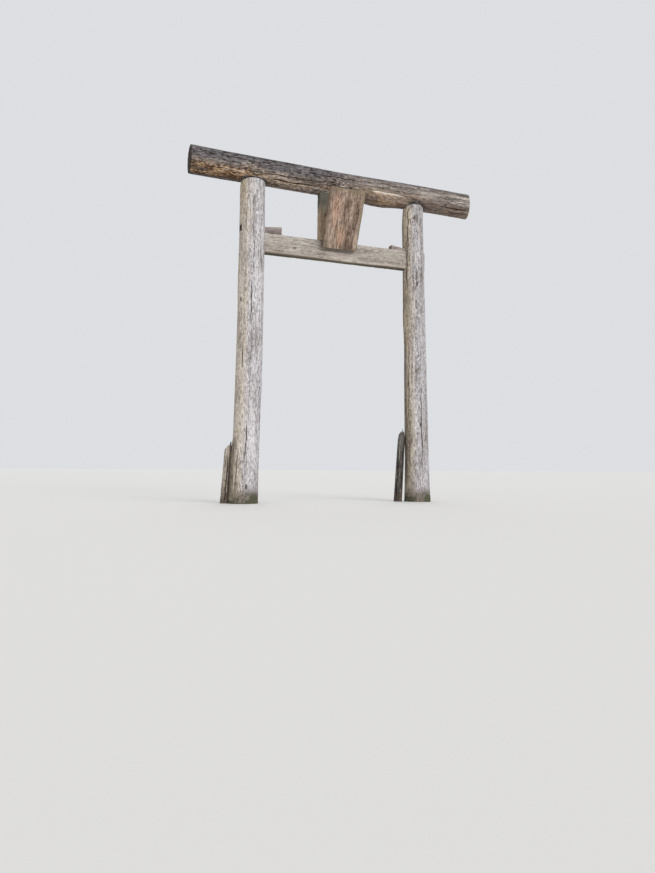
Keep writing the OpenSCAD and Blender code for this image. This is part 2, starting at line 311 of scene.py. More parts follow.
# materials in order: the first everywhere, each other one where its test says so
def dress(piece, node, materials, tests=()):
    mesh = piece.data
    mesh.materials.clear()
    for material in materials:
        mesh.materials.append(material)
    centres, normals = np.empty(len(mesh.polygons) * 3), np.empty(len(mesh.polygons) * 3)
    mesh.polygons.foreach_get("center", centres)
    mesh.polygons.foreach_get("normal", normals)
    which = np.zeros(len(mesh.polygons), dtype=np.int32)
    for i, test in enumerate(tests):
        which[test(centres.reshape(-1, 3), normals.reshape(-1, 3))] = i + 1
    mesh.polygons.foreach_set("material_index", which)
    mesh.shade_smooth()
    mesh.set_sharp_from_angle(angle=math.radians(48))
    mesh.update()
    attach(piece, "root")
    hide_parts(node)
    print(piece.name, "made,", len(mesh.polygons), "faces")


def facing(axis, least=0.8):                          # a test for faces that look along an axis
    return lambda centres, normals: np.abs(normals @ np.array(axis)) > least


# an input that is a wire is linked, anything else is set
def addNode(tree, kind, inputs=None, **settings):
    made = tree.nodes.new("ShaderNode" + kind)
    for key, value in settings.items():
        setattr(made, key, value)
    for key, value in (inputs or {}).items():
        if isinstance(value, Wire):
            tree.links.new(value.socket, made.inputs[key])
        else:
            made.inputs[key].default_value = value
    return made


def tone(red, green, blue):                           # screen values from 0 to 255
    linear = [((c / 255 + 0.055) / 1.055) ** 2.4 for c in (red, green, blue)]
    return (*linear, 1)


# what comes out of a node: sums, differences and products of wires make math nodes
class Wire:
    def __init__(self, node, output=0):
        self.tree, self.socket = node.id_data, node.outputs[output]

    def math(self, operation, other=0.0):
        return Wire(addNode(self.tree, "Math", {0: self, 1: other}, operation=operation))

    def __add__(self, other):
        return self.math("ADD", other)

    def __sub__(self, other):
        return self.math("SUBTRACT", other)

    def __mul__(self, other):
        return self.math("MULTIPLY", other)

    def remap(self, low, high, newLow=0.0, newHigh=1.0):
        return Wire(addNode(self.tree, "MapRange", {0: self, 1: low, 2: high, 3: newLow, 4: newHigh}))

    def noise(self, scale, stretch=1, detail=3.0, roughness=0.55, warp=0.0):
        moved = Wire(addNode(self.tree, "Mapping", {"Vector": self, "Scale": (1, 1, stretch)}))
        return Wire(addNode(self.tree, "TexNoise", {"Vector": moved, "Scale": scale, "Detail": detail,
                                                    "Roughness": roughness, "Distortion": warp}))

    def ramp(self, tones):
        made = addNode(self.tree, "ValToRGB", {0: self})
        stops = made.color_ramp.elements
        while len(stops) < len(tones):
            stops.new(0.5)
        for i, (place, *colour) in enumerate(tones):
            stops[i].position = place
            stops[i].color = tone(*colour)
        return Wire(made)

    def paint(self, share, colour, way="MIX"):        # another colour over this one
        over = colour if isinstance(colour, Wire) else tone(*colour)
        inputs = {0: share, 6: self, 7: over}
        return Wire(addNode(self.tree, "Mix", inputs, data_type="RGBA", blend_type=way), 2)


def vectorMath(wire, operation, other, output=0):
    return Wire(addNode(wire.tree, "VectorMath", {0: wire, 1: other}, operation=operation), output)


def maskOf(tree, name, output="Fac"):
    return Wire(addNode(tree, "Attribute", attribute_name=name), output)


def startMaterial(name):
    material = bpy.data.materials.new(name)
    material.use_nodes = True
    material.node_tree.nodes.clear()
    return material, material.node_tree


def finishMaterial(material, inputs, bump=()):        # bump: height, its distance and its strength
    tree = material.node_tree
    if bump:
        inputs["Normal"] = Wire(addNode(tree, "Bump", dict(zip(("Height", "Distance", "Strength"), bump))))
    addNode(tree, "OutputMaterial", {0: Wire(addNode(tree, "BsdfPrincipled", inputs))})
    return material


def finishWood(material, colour, rough, *bump):
    inputs = {"Base Color": colour, "Roughness": rough, "Specular IOR Level": 0.10}
    return finishMaterial(material, inputs, bump)


def weigh(wires, weights):                            # sum of wires, each times its weight
    total, *others = [wire * weight for wire, weight in zip(wires, weights)]
    for wire in others:
        total = total + wire
    return total


logGrain = {                                          # scale, stretch along the log, detail, roughness, warp
    "broad": (24, 0.07, 4, 0.6), "streak": (100, 0.085, 6, 0.72, 0.3), "mottle": (50, 0.38, 4, 0.65, 0.4),
    "fibre": (520, 0.030, 3, 0.6), "fleck": (102, 0.42, 3, 0.65), "check": (60, 0.055, 2, 0.5, 0.4),
    "checkPatch": (18, 0.30, 2), "tuft": (190, 0.8, 4, 0.7),
}
logShare = {                                          # what the logs share
    "calmShare": 0.5, "roughness": 0.84,
    "mossTones": [(0.30, 50, 50, 40), (0.52, 82, 82, 66), (0.75, 128, 126, 104)],
}


# bare weathered log: two families of tones, long fibres, short grit, checks, knots, stains with painted
# shade, and moss
def makeLogWood(name, look):
    look = {**logShare, **look}
    material, tree = startMaterial(name)
    grain = maskOf(tree, "grain", "Vector")
    noises = [grain.noise(*form) for form in logGrain.values()]
    broad, streak, mottle, fibre, fleck, check, checkPatch, tuft = noises
    grit = grain.noise(look["gritScale"], 0.34, 4, 0.70, 0.15)
    calm = maskOf(tree, "calm")                       # where the wood is less spotted
    lively = calm * -1 + 1
    share = weigh((broad, streak, grit, mottle), look["layers"]).remap(*look["contrast"])
    share = share * lively + calm * look["calmShare"]
    side = maskOf(tree, "side") + (broad + streak * 0.6 + grit * 0.3 - 0.95)
    lines = (check - 0.5).math("ABSOLUTE").remap(0.004, 0.020, 1, 0) * checkPatch.remap(0.42, 0.58)
    relief = maskOf(tree, "relief")
    # damp stains, and painted shade from the dark patches, the seat rims and the stakes' inner sides
    stain = maskOf(tree, "stain") + (streak * 2.2 + grit * 1.2 - 1.7)
    stainAndShadeTones = [(0.42, *look["stainAndShadeTone"]), (0.57, *look["stainAndShadePale"])]
    moss = (maskOf(tree, "moss") + (tuft + broad * 1.2)).remap(1.50, 1.90)
    fleckFrom = look["fleckFrom"]
    colour = share.ramp(look["mainTones"]).paint(side.remap(0.1, 0.9), share.ramp(look["secondTones"]))
    colour = colour.paint(1.0, fibre.ramp([(0.30, 196, 192, 188), (0.62, 255, 255, 255)]), "MULTIPLY")
    for amount, over in (
            (fleck.remap(0.42, 0.32, 0, look["paleShare"]) * lively, look["worn"]),
            (fleck.remap(fleckFrom, fleckFrom + 0.09, 0, look["fleckShare"]) * lively, look["darkTone"]),
            (lines * 0.75, look["darkTone"]),
            # wear, and painted light on the left post's upper part
            (maskOf(tree, "wear") * grit.remap(0.40, 0.60, 0.35, 1), look["worn"]),
            # painted shade in the hollows of the relief
            (relief.remap(-0.15, -0.9, 0, 0.75), look["darkTone"]),
            (relief.remap(0.15, 0.75, 0, 0.30), look["worn"]),
            ((maskOf(tree, "pale") * streak.remap(0.35, 0.55)).remap(0.1, 0.6), look["paleTone"]),
            (maskOf(tree, "knot") * 0.8, look["knotTone"]),
            (stain.remap(0.20, 0.95, 0, 0.86), (grit * 0.5 + mottle * 0.5).ramp(stainAndShadeTones)),
            (maskOf(tree, "crack").remap(0.15, 0.6, 0, 0.92), look["crackTone"]),
            (moss, tuft.ramp(look["mossTones"]))):
        colour = colour.paint(amount, over)
    height = streak * 0.5 + grit * 0.35 + fibre * 0.35 + lines * -0.8 + moss * tuft * 1.6
    rough = fibre.remap(0.3, 0.7, look["roughness"] - 0.08, look["roughness"] + 0.08)
    return finishWood(material, colour, rough, height, 0.0022, 0.75)


# sawn end of a log or timber: growth rings about a middle line, with checks that run outwards
def makeEndWood(name, look):
    material, tree = startMaterial(name)
    place = Wire(addNode(tree, "TexCoord"), "Object")
    moved = Wire(addNode(tree, "Mapping", {"Vector": place, "Location": [-c for c in look["middle"]]}))
    flat = vectorMath(moved, "MULTIPLY", look["plane"])
    away = vectorMath(flat, "LENGTH", (0, 0, 0), "Value") + flat.noise(14, detail=3) * 0.018
    rings = (away * (fullTurn / look["ringWidth"])).math("SINE").remap(-1, 1)
    patch = flat.noise(60, detail=5, roughness=0.7)
    pore = place.noise(900, detail=2)
    colour = (rings * 0.35 + patch * 0.65).ramp(look["tones"])
    colour = colour.paint(pore.remap(0.55, 0.7, 0, 0.5), look["darkTone"])
    colour = colour.paint(maskOf(tree, "crack").remap(0.2, 0.7, 0, 0.9), look["darkTone"])
    return finishWood(material, colour, patch.remap(0.3, 0.7, 0.78, 0.94), rings + pore * 0.8, 0.0012, 0.7)


# what the sawn pieces share (a tone that a piece lacks isn't laid on it)
timberShare = {"speckShare": 0.5, "contrast": (0.40, 0.60), "weights": (0.36, 0.30, 0.34), "sawPitch": 0,
               "roughness": 0.84}


# sawn or planed timber: grain lines along one axis, mottling, saw marks, checks and dark specks
def makeTimberWood(name, look):
    look = {**timberShare, **look}
    material, tree = startMaterial(name)
    grain = maskOf(tree, "grain", "Vector")
    place, along = vectorMath(grain, "ADD", (look["shift"], 0, 0)), look["stretch"]
    broad = place.noise(look["broadScale"], along * 1.6, 4, 0.6, 0.4)
    streak = place.noise(look["streakScale"], along, 6, 0.66, 0.3)
    grit = place.noise(72, look["gritStretch"], 4, 0.72, 0.2)
    fibre = place.noise(620, along * 0.5, 3, 0.6)
    speck = place.noise(look["speckScale"], 0.30, 2, 0.5)
    check = place.noise(look["checkScale"], along * 0.8, 2, 0.5, 0.2)
    share = weigh((broad, streak, grit), look["weights"]).remap(*look["contrast"])
    side = maskOf(tree, "side") + (broad * 0.7 + grit * 0.3 - 0.5)
    lines = (check - 0.5).math("ABSOLUTE").remap(0.003, 0.016, 1, 0) * broad.remap(0.46, 0.60)
    # stains, and painted shade: the line under the plaque, the band under each wedge and the board's upper
    # front
    stain = maskOf(tree, "stain") + (streak * 0.9 + grit * 0.7 - 0.8)
    speckFrom = look["speckFrom"]
    colour = share.ramp(look["tones"]).paint(side.remap(0.15, 0.85), share.ramp(look["sideTones"]))
    # a paler tint: painted light on the tie beam, the wood's own colour on the plaque
    if "blushAndLightTone" in look:
        blush = maskOf(tree, "blush") * streak.remap(0.35, 0.62, 0.35, 1)
        colour = colour.paint(blush * look["blushAndLightShare"], look["blushAndLightTone"])
    colour = colour.paint(1.0, fibre.ramp([(0.32, 205, 200, 196), (0.62, 255, 255, 255)]), "MULTIPLY")
    for amount, over in (
            (speck.remap(speckFrom, speckFrom + 0.05, 0, look["speckShare"]), "darkTone"),
            (lines * 0.7, "darkTone"),
            # painted shade in the hollows of the relief
            (maskOf(tree, "relief").remap(-0.2, -0.9, 0, 0.6), "darkTone"),
            (maskOf(tree, "edge") * look["edgeShare"], "edgeTone"),
            (maskOf(tree, "knot") * 0.75, "knotTone"),
            (stain.remap(0.3, 1.0, 0, 0.8), "stainAndShadeTone"),
            (maskOf(tree, "crack").remap(0.15, 0.6, 0, 0.9), "crackTone")):
        if over in look:
            colour = colour.paint(amount, look[over])
    height = streak * 0.5 + grit * 0.25 + fibre * 0.4 + lines * -0.7
    if look["sawPitch"]:
        saw = Wire(addNode(tree, "SeparateXYZ", {0: grain}), 2)
        height = height + (saw * (fullTurn / look["sawPitch"])).math("SINE") * 0.10
    rough = fibre.remap(0.3, 0.7, look["roughness"] - 0.08, look["roughness"] + 0.08)
    return finishWood(material, colour, rough, height, 0.0015, 0.7)


ironLook = {"tones": [(0.30, 38, 30, 27), (0.50, 78, 48, 34), (0.66, 122, 74, 46), (0.80, 84, 68, 60)],
            "roughness": 0.75, "metal": 0.35}


def makeRustedIron(look):
    material, tree = startMaterial("rustedIron")
    place = Wire(addNode(tree, "TexCoord"), "Object")
    blotch = place.noise(130, detail=6, roughness=0.7)
    height = blotch + place.noise(900, detail=3) * 0.4
    rough = blotch.remap(0.3, 0.7, look["roughness"] - 0.2, look["roughness"] + 0.15)
    inputs = {"Base Color": blotch.ramp(look["tones"]), "Roughness": rough, "Metallic": look["metal"]}
    return finishMaterial(material, inputs, (height, 0.0006, 0.8))


# angles run from +X over +Y, so the viewer sees each post from about 165 to 345 degrees
leftPostLook = {
    "node": "left_post", "foot": 0.0, "lean": 0.018, "bow": 0.011,
    "footRadius": 0.100, "headRadius": 0.093, "headRound": 0.014, "mortiseRoom": 0.049, "seed": 1,
    "knots": [(264.6, 0.124, 0.013), (205, 1.52, 0.012), (318, 0.86, 0.009), (40, 1.95, 0.014),
              (95, 0.70, 0.016), (140, 1.30, 0.011)],
    "waves": [(3, 5, 0.0040), (9, 12, 0.0022), (26, 9, 0.0014), (70, 16, 0.0012), (140, 60, 0.0005)],
    "fissures": [(30, 9, 0.0022, 22), (64, 15, 0.0014, 12)],
    "cracks": [(254, 0.34, 0.58, 0.007, 1.0), (264, 0.62, 1.34, 0.003, 0.6), (260, 1.34, 1.68, 0.006, 0.9),
               (224, 1.00, 1.18, 0.008, 1.0), (265, 1.68, 2.14, 0.004, 0.8), (222, 0.02, 0.42, 0.005, 0.7),
               (60, 0.05, 1.90, 0.009, 1.0), (120, 0.90, 2.30, 0.006, 0.8), (15, 0.20, 1.10, 0.005, 0.7),
               (148, 0.00, 0.80, 0.006, 0.8)],
    "flecks": [(215, 0.08, 0.26, 0.010, 0.8), (206, 0.12, 0.30, 0.006, 0.7), (240, 0.02, 0.16, 0.008, 0.7),
               (229, 1.01, 1.16, 0.006, 0.9), (257, 0.36, 0.50, 0.006, 0.7), (251, 1.95, 2.22, 0.010, 0.6)],
    "sideBands": [(188, 52, 46, 1.0), (70, 26, 18, 0.55), (128, 14, 10, 0.4)],
    "mossSpots": [(305, 0.035, 0.060, 0.055), (285, 0.010, 0.060, 0.030), (80, 0.06, 0.10, 0.07),
                  (190, 0.010, 0.09, 0.022), (245, 0.0, 0.16, 0.012)],
    "darkPatches": [(186, 32, 0.00, 0.50, 0.80), (190, 24, 0.02, 0.26, 1.0), (262, 9, 2.10, 2.32, 0.5)],
    # painted light in part: these patches lighten the post, the upper two where the log shades it
    "wornPatches": [(205, 24, 0.30, 2.30, 0.38), (250, 30, 1.10, 2.45, 0.30), (290, 26, 1.10, 2.45, 0.30),
                    (250, 60, 0.22, 1.20, 0.24)],
    # where the log is fuller than its round, in metres
    "fullSides": [(185, 45, 1.55, 2.42, 0.004), (182, 55, -0.44, 0.44, 0.013)],
}
rightPostLook = {
    "node": "right_post", "foot": 1.446, "lean": -0.018, "bow": -0.002,
    "footRadius": 0.101, "headRadius": 0.081, "headRound": 0.024, "mortiseRoom": 0.018, "seed": 4,
    "knots": [(249, 2.315, 0.011), (260, 1.77, 0.013), (301, 1.05, 0.010), (265, 0.62, 0.013),
              (70, 1.70, 0.014), (120, 0.95, 0.012)],
    "waves": [(3, 5, 0.0040), (9, 12, 0.0024), (26, 9, 0.0016), (70, 16, 0.0012), (140, 60, 0.0005)],
    "fissures": [(28, 8, 0.0026, 20), (60, 15, 0.0016, 12)],
    "cracks": [(213, 2.06, 2.41, 0.006, 0.9), (207, 0.30, 1.55, 0.005, 0.8), (205, 1.72, 2.06, 0.008, 0.9),
               (228, 1.00, 1.45, 0.004, 0.6), (270, 0.20, 0.95, 0.006, 0.8),
               (30, 0.30, 2.20, 0.009, 1.0), (95, 0.10, 1.00, 0.006, 0.8), (140, 1.20, 2.30, 0.006, 0.8)],
    "flecks": [(236, 0.95, 1.20, 0.008, 0.5), (262, 0.08, 0.30, 0.008, 0.6), (236, 2.28, 2.41, 0.007, 0.9),
               (274, 2.13, 2.28, 0.006, 0.8), (255, 1.90, 2.05, 0.010, 0.8), (246, 1.50, 1.66, 0.006, 0.7)],
    "sideBands": [(179, 48, 44, 1.0), (55, 28, 18, 0.6), (110, 14, 10, 0.4)],
    "mossSpots": [(300, 0.03, 0.08, 0.045), (200, 0.02, 0.09, 0.035), (60, 0.05, 0.10, 0.06)],
    # painted shade: these patches darken the post's left side and upper part, and its front in places
    "darkPatches": [(168, 32, 0.10, 1.45, 0.92), (165, 20, 1.40, 2.36, 1.0), (262, 9, 2.290, 2.345, 0.9),
                    (292, 34, 0.20, 1.26, 0.36), (200, 16, 1.55, 2.10, 0.45),
                    (255, 90, 1.30, 2.50, 0.24), (292, 26, 1.30, 2.50, 0.38)],
    "wornPatches": [(246, 24, 1.60, 2.10, 0.08)],
    "fullSides": [(190, 45, 1.34, 2.42, 0.011)],
}
postShare = {
    "around": 272, "rows": 300, "flare": 0.005, "flareHeight": 0.120, "roundSteps": (22, 45, 68, 90),
    "headTrim": (0.05, 0.005),                        # the log is trimmed round this far below its head
    "footShares": (0.7, 0.35), "headShares": (0.75, 0.45, 0.15), "mossHeight": 0.0035, "stainHeight": 0.100,
    "mortiseReach": 0.2,                              # half length of the cutter for the mortise
    "woodShare": 0.93,                                # a cut face lies inside this share of the radius
}


def postAxis(z, look):
    return look["foot"] + look["lean"] * z + look["bow"] * np.sin(np.pi * z / headHeight)


def postRadius(z, look):
    slimmer = (look["headRadius"] - look["footRadius"]) * z / headHeight
    return look["footRadius"] + slimmer + postShare["flare"] * np.exp(-z / postShare["flareHeight"])


def makePost(name, look, materials):
    form, rows = postShare, postShare["rows"]
    tall = headHeight - look["headRound"]
    steps = np.radians(form["roundSteps"])
    z = np.concatenate([np.linspace(0, tall, rows), tall + np.sin(steps) * look["headRound"]])
    drawnIn = np.concatenate([np.zeros(rows), (1 - np.cos(steps)) * look["headRound"]])
    angle, z, drawnIn = logGrid(form["around"], z, drawnIn)
    radius = postRadius(z, look)
    relief, masks = logSurface(angle, z, radius, headHeight, look)
    turn = angle / fullTurn
    moss = np.zeros_like(angle)
    for centre, height, wide, reach in look["mossSpots"]:            # a tuft's angle, height, width, reach
        side = angleGap(angle, centre) * radius / wide
        moss = np.maximum(moss, 1 - smoothStep(np.hypot(side, (z - height) / reach), 0.35, 1.15))
    masks["moss"] = moss
    relief += form["mossHeight"] * moss * softNoise(turn, z / headHeight, 34, 120, look["seed"] + 7)
    soaked = form["stainHeight"] * (0.7 + 0.6 * softNoise(turn, 0 * z, 14, 1, 3))
    soakedShare = 1.15 * (1 - smoothStep(z, soaked * 0.3, soaked * 1.7))
    # the damp foot, and the dark patches: stains on the left post, painted shade on the right post
    masks["stain"] = np.maximum(soakedShare, patches(angle, z, look["darkPatches"]))
    masks["wear"] = patches(angle, z, look["wornPatches"])
    masks["side"] = bands(angle, look["sideBands"])
    fade = 1 - smoothStep(z, *(headHeight - below for below in form["headTrim"]))
    q = radius * lumps(angle, z / headHeight, look["seed"]) + relief * (0.25 + 0.75 * fade) - drawnIn
    q += patches(angle, z, look["fullSides"]) * fade
    rings = np.stack([postAxis(z, look) + q * np.cos(angle), q * np.sin(angle), z], -1)
    rings = closeEnd(rings, masks, True, form["footShares"])
    rings = closeEnd(rings, masks, False, form["headShares"])
    piece = skinRings(name, rings, masks)
    headX, half, gap = postAxis(headHeight, look), gate["stubSide"] / 2, gate["tenonGap"]
    carve(piece, makeBlock((headX - half, -half, headHeight - rooted),
                           (headX + half, half, headHeight + gate["stubHeight"])), "UNION")
    middle, reach = postAxis((beamLow[2] + beamTop) / 2, look), form["mortiseReach"]
    carve(piece, makeBlock((middle - reach, beamLow[1] - gap, beamLow[2]),
                           (middle + reach, beamHigh[1] + gap, beamTop + look["mortiseRoom"])))
    boreLow = spikeTop(headX) - gate["spikeLength"] - 2 * touch
    carve(piece, makeRod((headX, 0, boreLow), (headX, 0, spikeTop(headX)),
                         gate["spikeRadius"] + gate["boreGap"]))

    def isCut(c, n):
        away = np.hypot(c[:, 0] - postAxis(c[:, 2], look), c[:, 1])
        inner = (away < postRadius(c[:, 2], look) * form["woodShare"]) & (np.abs(c[:, 2] - headHeight) < 0.5)
        return inner | (c[:, 2] < touch) | (c[:, 2] > headHeight - touch / 2)

    dress(piece, look["node"], materials, [isCut])


silverLook = {
    "mainTones": [(0.0, 119, 113, 112), (0.30, 175, 171, 173), (0.64, 206, 204, 209), (1.0, 233, 233, 239)],
    "secondTones": [(0.0, 120, 104, 83), (0.30, 176, 159, 135), (0.66, 210, 195, 171), (1.0, 233, 224, 206)],
    "darkTone": (94, 83, 75), "worn": (228, 225, 225), "paleTone": (220, 211, 196), "knotTone": (76, 64, 55),
    "stainAndShadeTone": (60, 54, 45), "stainAndShadePale": (125, 115, 100), "crackTone": (50, 40, 34),
    "gritScale": 112, "layers": (0.17, 0.29, 0.47, 0.07), "contrast": (0.41, 0.595),
    "fleckFrom": 0.55, "fleckShare": 0.80, "paleShare": 0.60,
}
silverWood = makeLogWood("silverLogWood", silverLook)
cutWood = makeEndWood("postCutWood", {
    "middle": (0.02, 0, 0), "plane": (1, 1, 0), "ringWidth": 0.006, "darkTone": (48, 38, 30),
    "tones": [(0.25, 70, 56, 44), (0.5, 104, 86, 68), (0.75, 136, 118, 98)]})
makePost("leftPost", leftPostLook, [silverWood, cutWood])
makePost("rightPost", rightPostLook, [silverWood, cutWood])

# angles run from +Y over +Z: 90 is the log's top, 180 faces the viewer and 270 is its underside
topLogLook = {
    "node": "top_log", "seed": 7, "around": 270, "rows": 300, "endRings": 12, "endRound": 0.007,
    "roundSteps": (90, 67, 45, 22),
    "skew": 16, "skewBay": 1 / 24,                    # the sawn slant dies out over this share of the log
    "endShares": (0.93, 0.06), "endFacing": 0.72, "endReach": (0.012, 0.04),
    "cutShare": 0.92, "cutReach": (0.1, 0.2),         # a cut face lies inside these
    "seatSides": 96, "spikePit": 2.6,                 # the spike's head is let in, in radii of its shaft
    "knots": [(196, 0.62, 0.011), (172, 1.06, 0.012), (212, 2.10, 0.008), (60, 0.9, 0.016),
              (20, 1.7, 0.014), (330, 0.5, 0.013), (292, 1.53, 0.030)],
    "waves": [(3, 4, 0.0040), (8, 10, 0.0026), (24, 8, 0.0020), (66, 15, 0.0016), (135, 60, 0.0006)],
    "fissures": [(26, 7, 0.0030, 18), (58, 14, 0.0020, 10), (40, 22, 0.0014, 12)],
    # places along the log are measured from its left end
    "cracks": [(193, 2.14, 2.34, 0.005, 0.8), (222, 2.05, 2.34, 0.009, 1.0), (246, 2.14, 2.34, 0.008, 0.9),
               (206, 0.45, 1.02, 0.006, 0.8), (228, 0.56, 0.94, 0.009, 0.9), (170, 0.90, 1.45, 0.006, 0.8),
               (160, 0.10, 0.80, 0.005, 0.7), (218, 0.08, 0.36, 0.005, 0.6), (188, 1.45, 1.98, 0.005, 0.6),
               (120, 0.30, 1.60, 0.010, 1.0), (75, 0.90, 2.20, 0.012, 1.0), (20, 0.20, 1.20, 0.008, 0.9),
               (350, 1.10, 2.20, 0.008, 0.9), (262, 1.55, 1.95, 0.005, 0.6)],
    "flecks": [(187, 0.18, 0.27, 0.006, 1.0), (188, 0.31, 0.36, 0.007, 0.9), (215, 0.22, 0.42, 0.006, 1.0),
               (224, 0.44, 0.66, 0.006, 0.8), (236, 0.92, 1.20, 0.007, 0.9), (246, 1.00, 1.20, 0.005, 0.9),
               (142, 1.68, 1.80, 0.008, 1.0), (147, 1.85, 1.94, 0.008, 1.0), (204, 1.43, 1.68, 0.016, 1.0),
               (207, 1.58, 1.72, 0.008, 0.9), (148, 0.58, 0.78, 0.008, 1.0), (206, 1.10, 1.24, 0.006, 0.8)],
    "sideBands": [(246, 48, 30, 1.0), (330, 24, 16, 0.6)],
    "warmth": [(0.0, 1.0), (0.34, 1.0), (0.60, 0.55), (1.05, 0.35), (1.45, 0.60), (1.80, 0.55), (2.4, 0.40)],
    # painted shade: patches that darken the top, the front and the underside, most of all towards the left
    # end
    "darkPatches": [(122, 50, -0.20, 1.16, 0.98), (112, 42, 1.10, 2.50, 0.80), (172, 40, -0.20, 0.42, 0.72),
                    (170, 26, 0.46, 1.06, 0.90), (279, 22, -0.20, 0.42, 0.95), (275, 22, 0.40, 2.50, 0.50),
                    (238, 14, 1.38, 1.50, 0.60), (20, 40, 0.30, 2.00, 0.35), (234, 8, 0.04, 0.12, 0.8),
                    (150, 22, 0.50, 1.20, 1.0), (150, 22, 1.86, 2.12, 0.35), (162, 30, -0.20, 0.42, 1.0),
                    (234, 40, 1.80, 2.50, 0.55)],
    "calmPatches": [(180, 150, 1.20, 2.70, 0.50)],
    "wornPatches": [(180, 20, 1.84, 2.14, 0.55), (180, 24, 2.12, 2.50, 1.0), (202, 16, 1.92, 2.50, 0.15),
                    (204, 24, 0.56, 1.02, 0.34), (240, 18, 0.60, 1.02, 0.24), (222, 18, 1.40, 1.78, 0.10),
                    (205, 10, 0.46, 0.60, 0.25)],
    "seatShadeAndDirt": 0.026,                               # reach of the dark rim above a post's head: painted shade of the seat's hollow, and dirt at the joint
    "endChecks": 9, "checkWidth": 0.0035, "checkDepth": 0.007, "endRough": 0.0016,
}


# checks run from the heart of an end outwards, and it is a little hollow between them
def weatherEnd(rings, masks, look, atStart, shares, angle, radius):
    picked = slice(0, look["endRings"]) if atStart else slice(-look["endRings"], None)
    turns = np.random.default_rng(look["seed"] + atStart).random(look["endChecks"]) * fullTurn
    end = angle[:1] * np.ones((look["endRings"], 1))
    away = np.stack([np.abs((end - t + np.pi) % fullTurn - np.pi) for t in turns]).min(0)
    s = (shares[::-1] if atStart else shares)[:, None]
    split = np.clip(1 - away * s * radius / look["checkWidth"], 0, 1) * smoothStep(s, 0.02, 0.25)
    rough = softNoise(end / fullTurn, s * np.ones_like(end), 60, 16, 21)
    inward = look["checkDepth"] * split + look["endRough"] * rough
    rings[picked, :, 0] += inward if atStart else -inward
    masks["crack"][picked] = split
    masks["relief"][picked] = 0
    masks["pale"][picked] = 0


def makeTopLog(name, look, postLooks, materials):
    length, straight = logForm["length"], gate["logRadius"] / (1 + gate["lump"])
    steps, rounded = np.radians(look["roundSteps"]), look["endRound"]
    along, drawnIn = (1 - np.sin(steps)) * rounded, (1 - np.cos(steps)) * rounded
    span = np.linspace(rounded, length - rounded, look["rows"])
    angle, along, drawnIn = logGrid(look["around"], np.concatenate([along, span, length - along[::-1]]),
                                    np.concatenate([drawnIn, 0 * span, drawnIn[::-1]]))
    share = along / length
    below = np.maximum(0, -np.sin(angle)) ** 1.5      # 1 on the underside, 0 from the sides up
    bulge = logForm["swell"] * np.exp(-((share - logForm["swellAt"]) / logForm["swellReach"]) ** 2) * below
    radius = straight + logForm["endFlare"] * (2 * share - 1) ** 4
    relief, masks = logSurface(angle, along, radius, length, look)
    chips = softNoise(angle / fullTurn, share, 46, 2, 11) * drawnIn * 0.9
    q = radius * lumps(angle + np.pi / 2, share, look["seed"]) + bulge + relief - drawnIn - chips
    skew = math.tan(math.radians(look["skew"]))
    slant = smoothStep(share, 1 - look["skewBay"], 1) * q * np.cos(angle) * skew
    x, y = logLow[0] + along, q * np.cos(angle)
    z = gate["axisHeight"] + axisRise(x) + q * np.sin(angle)
    masks["moss"] = 0 * angle
    masks["stain"] = patches(angle, along, look["darkPatches"])
    # a dark rim on the log round each post's head: painted shade of the seat's hollow, and dirt
    for post in postLooks:
        beside = np.hypot(x - postAxis(headHeight, post), y) - post["headRadius"]
        off = np.hypot(np.maximum(0, beside), np.maximum(0, z - headHeight))
        rim = 1.2 * (1 - smoothStep(off, 0.3, 1.0, look["seatShadeAndDirt"]))
        masks["stain"] = np.maximum(masks["stain"], rim)
    masks["wear"] = patches(angle, along, look["wornPatches"])
    masks["calm"] = patches(angle, along, look["calmPatches"])
    masks["side"] = bands(angle, look["sideBands"]) * np.interp(along, *zip(*look["warmth"]))
    rings = np.stack([x + slant, y, z], -1)
    shares = np.linspace(*look["endShares"], look["endRings"])
    for atStart in (True, False):
        rings = closeEnd(rings, masks, atStart, shares)
        weatherEnd(rings, masks, look, atStart, shares, angle, straight)
    piece = skinRings(name, rings, masks)
    gap, bore = gate["tenonGap"], gate["spikeRadius"] + gate["boreGap"]
    half, under, over = gate["stubSide"] / 2 + gap, logLow[2] - clear, logHigh[2] + clear
    for post in postLooks:
        headX = postAxis(headHeight, post)
        seat = post["headRadius"] * (1 + gate["lump"]) + gate["seatGap"]
        pit = look["spikePit"] * gate["spikeRadius"]
        carve(piece, makeRod((headX, 0, under), (headX, 0, headHeight), seat, look["seatSides"]))
        carve(piece, makeBlock((headX - half, -half, headHeight - touch),
                               (headX + half, half, headHeight + gate["stubHeight"] + gap)))
        carve(piece, makeRod((headX, 0, headHeight + 0.01), (headX, 0, over), bore))
        carve(piece, makeRod((headX, 0, spikeTop(headX)), (headX, 0, over), pit))
    carve(piece, makeBlock((boardLow[0] - gap, boardLow[1] - gap, under),
                           (boardHigh[0] + gap, boardHigh[1] + gap, boardHigh[2])))

    def between(c, low, high):                        # how far from the two ends
        return (c[:, 0] > logLow[0] + low) & (c[:, 0] < logLow[0] + length - high)

    def isEnd(c, n):
        return ~between(c, *look["endReach"]) & (np.abs(n[:, 0]) > look["endFacing"])

    def isCut(c, n):
        away = np.hypot(c[:, 1], c[:, 2] - gate["axisHeight"] - axisRise(c[:, 0]))
        return (away < straight * look["cutShare"]) & between(c, *look["cutReach"])

    dress(piece, look["node"], materials, [isEnd, isCut])


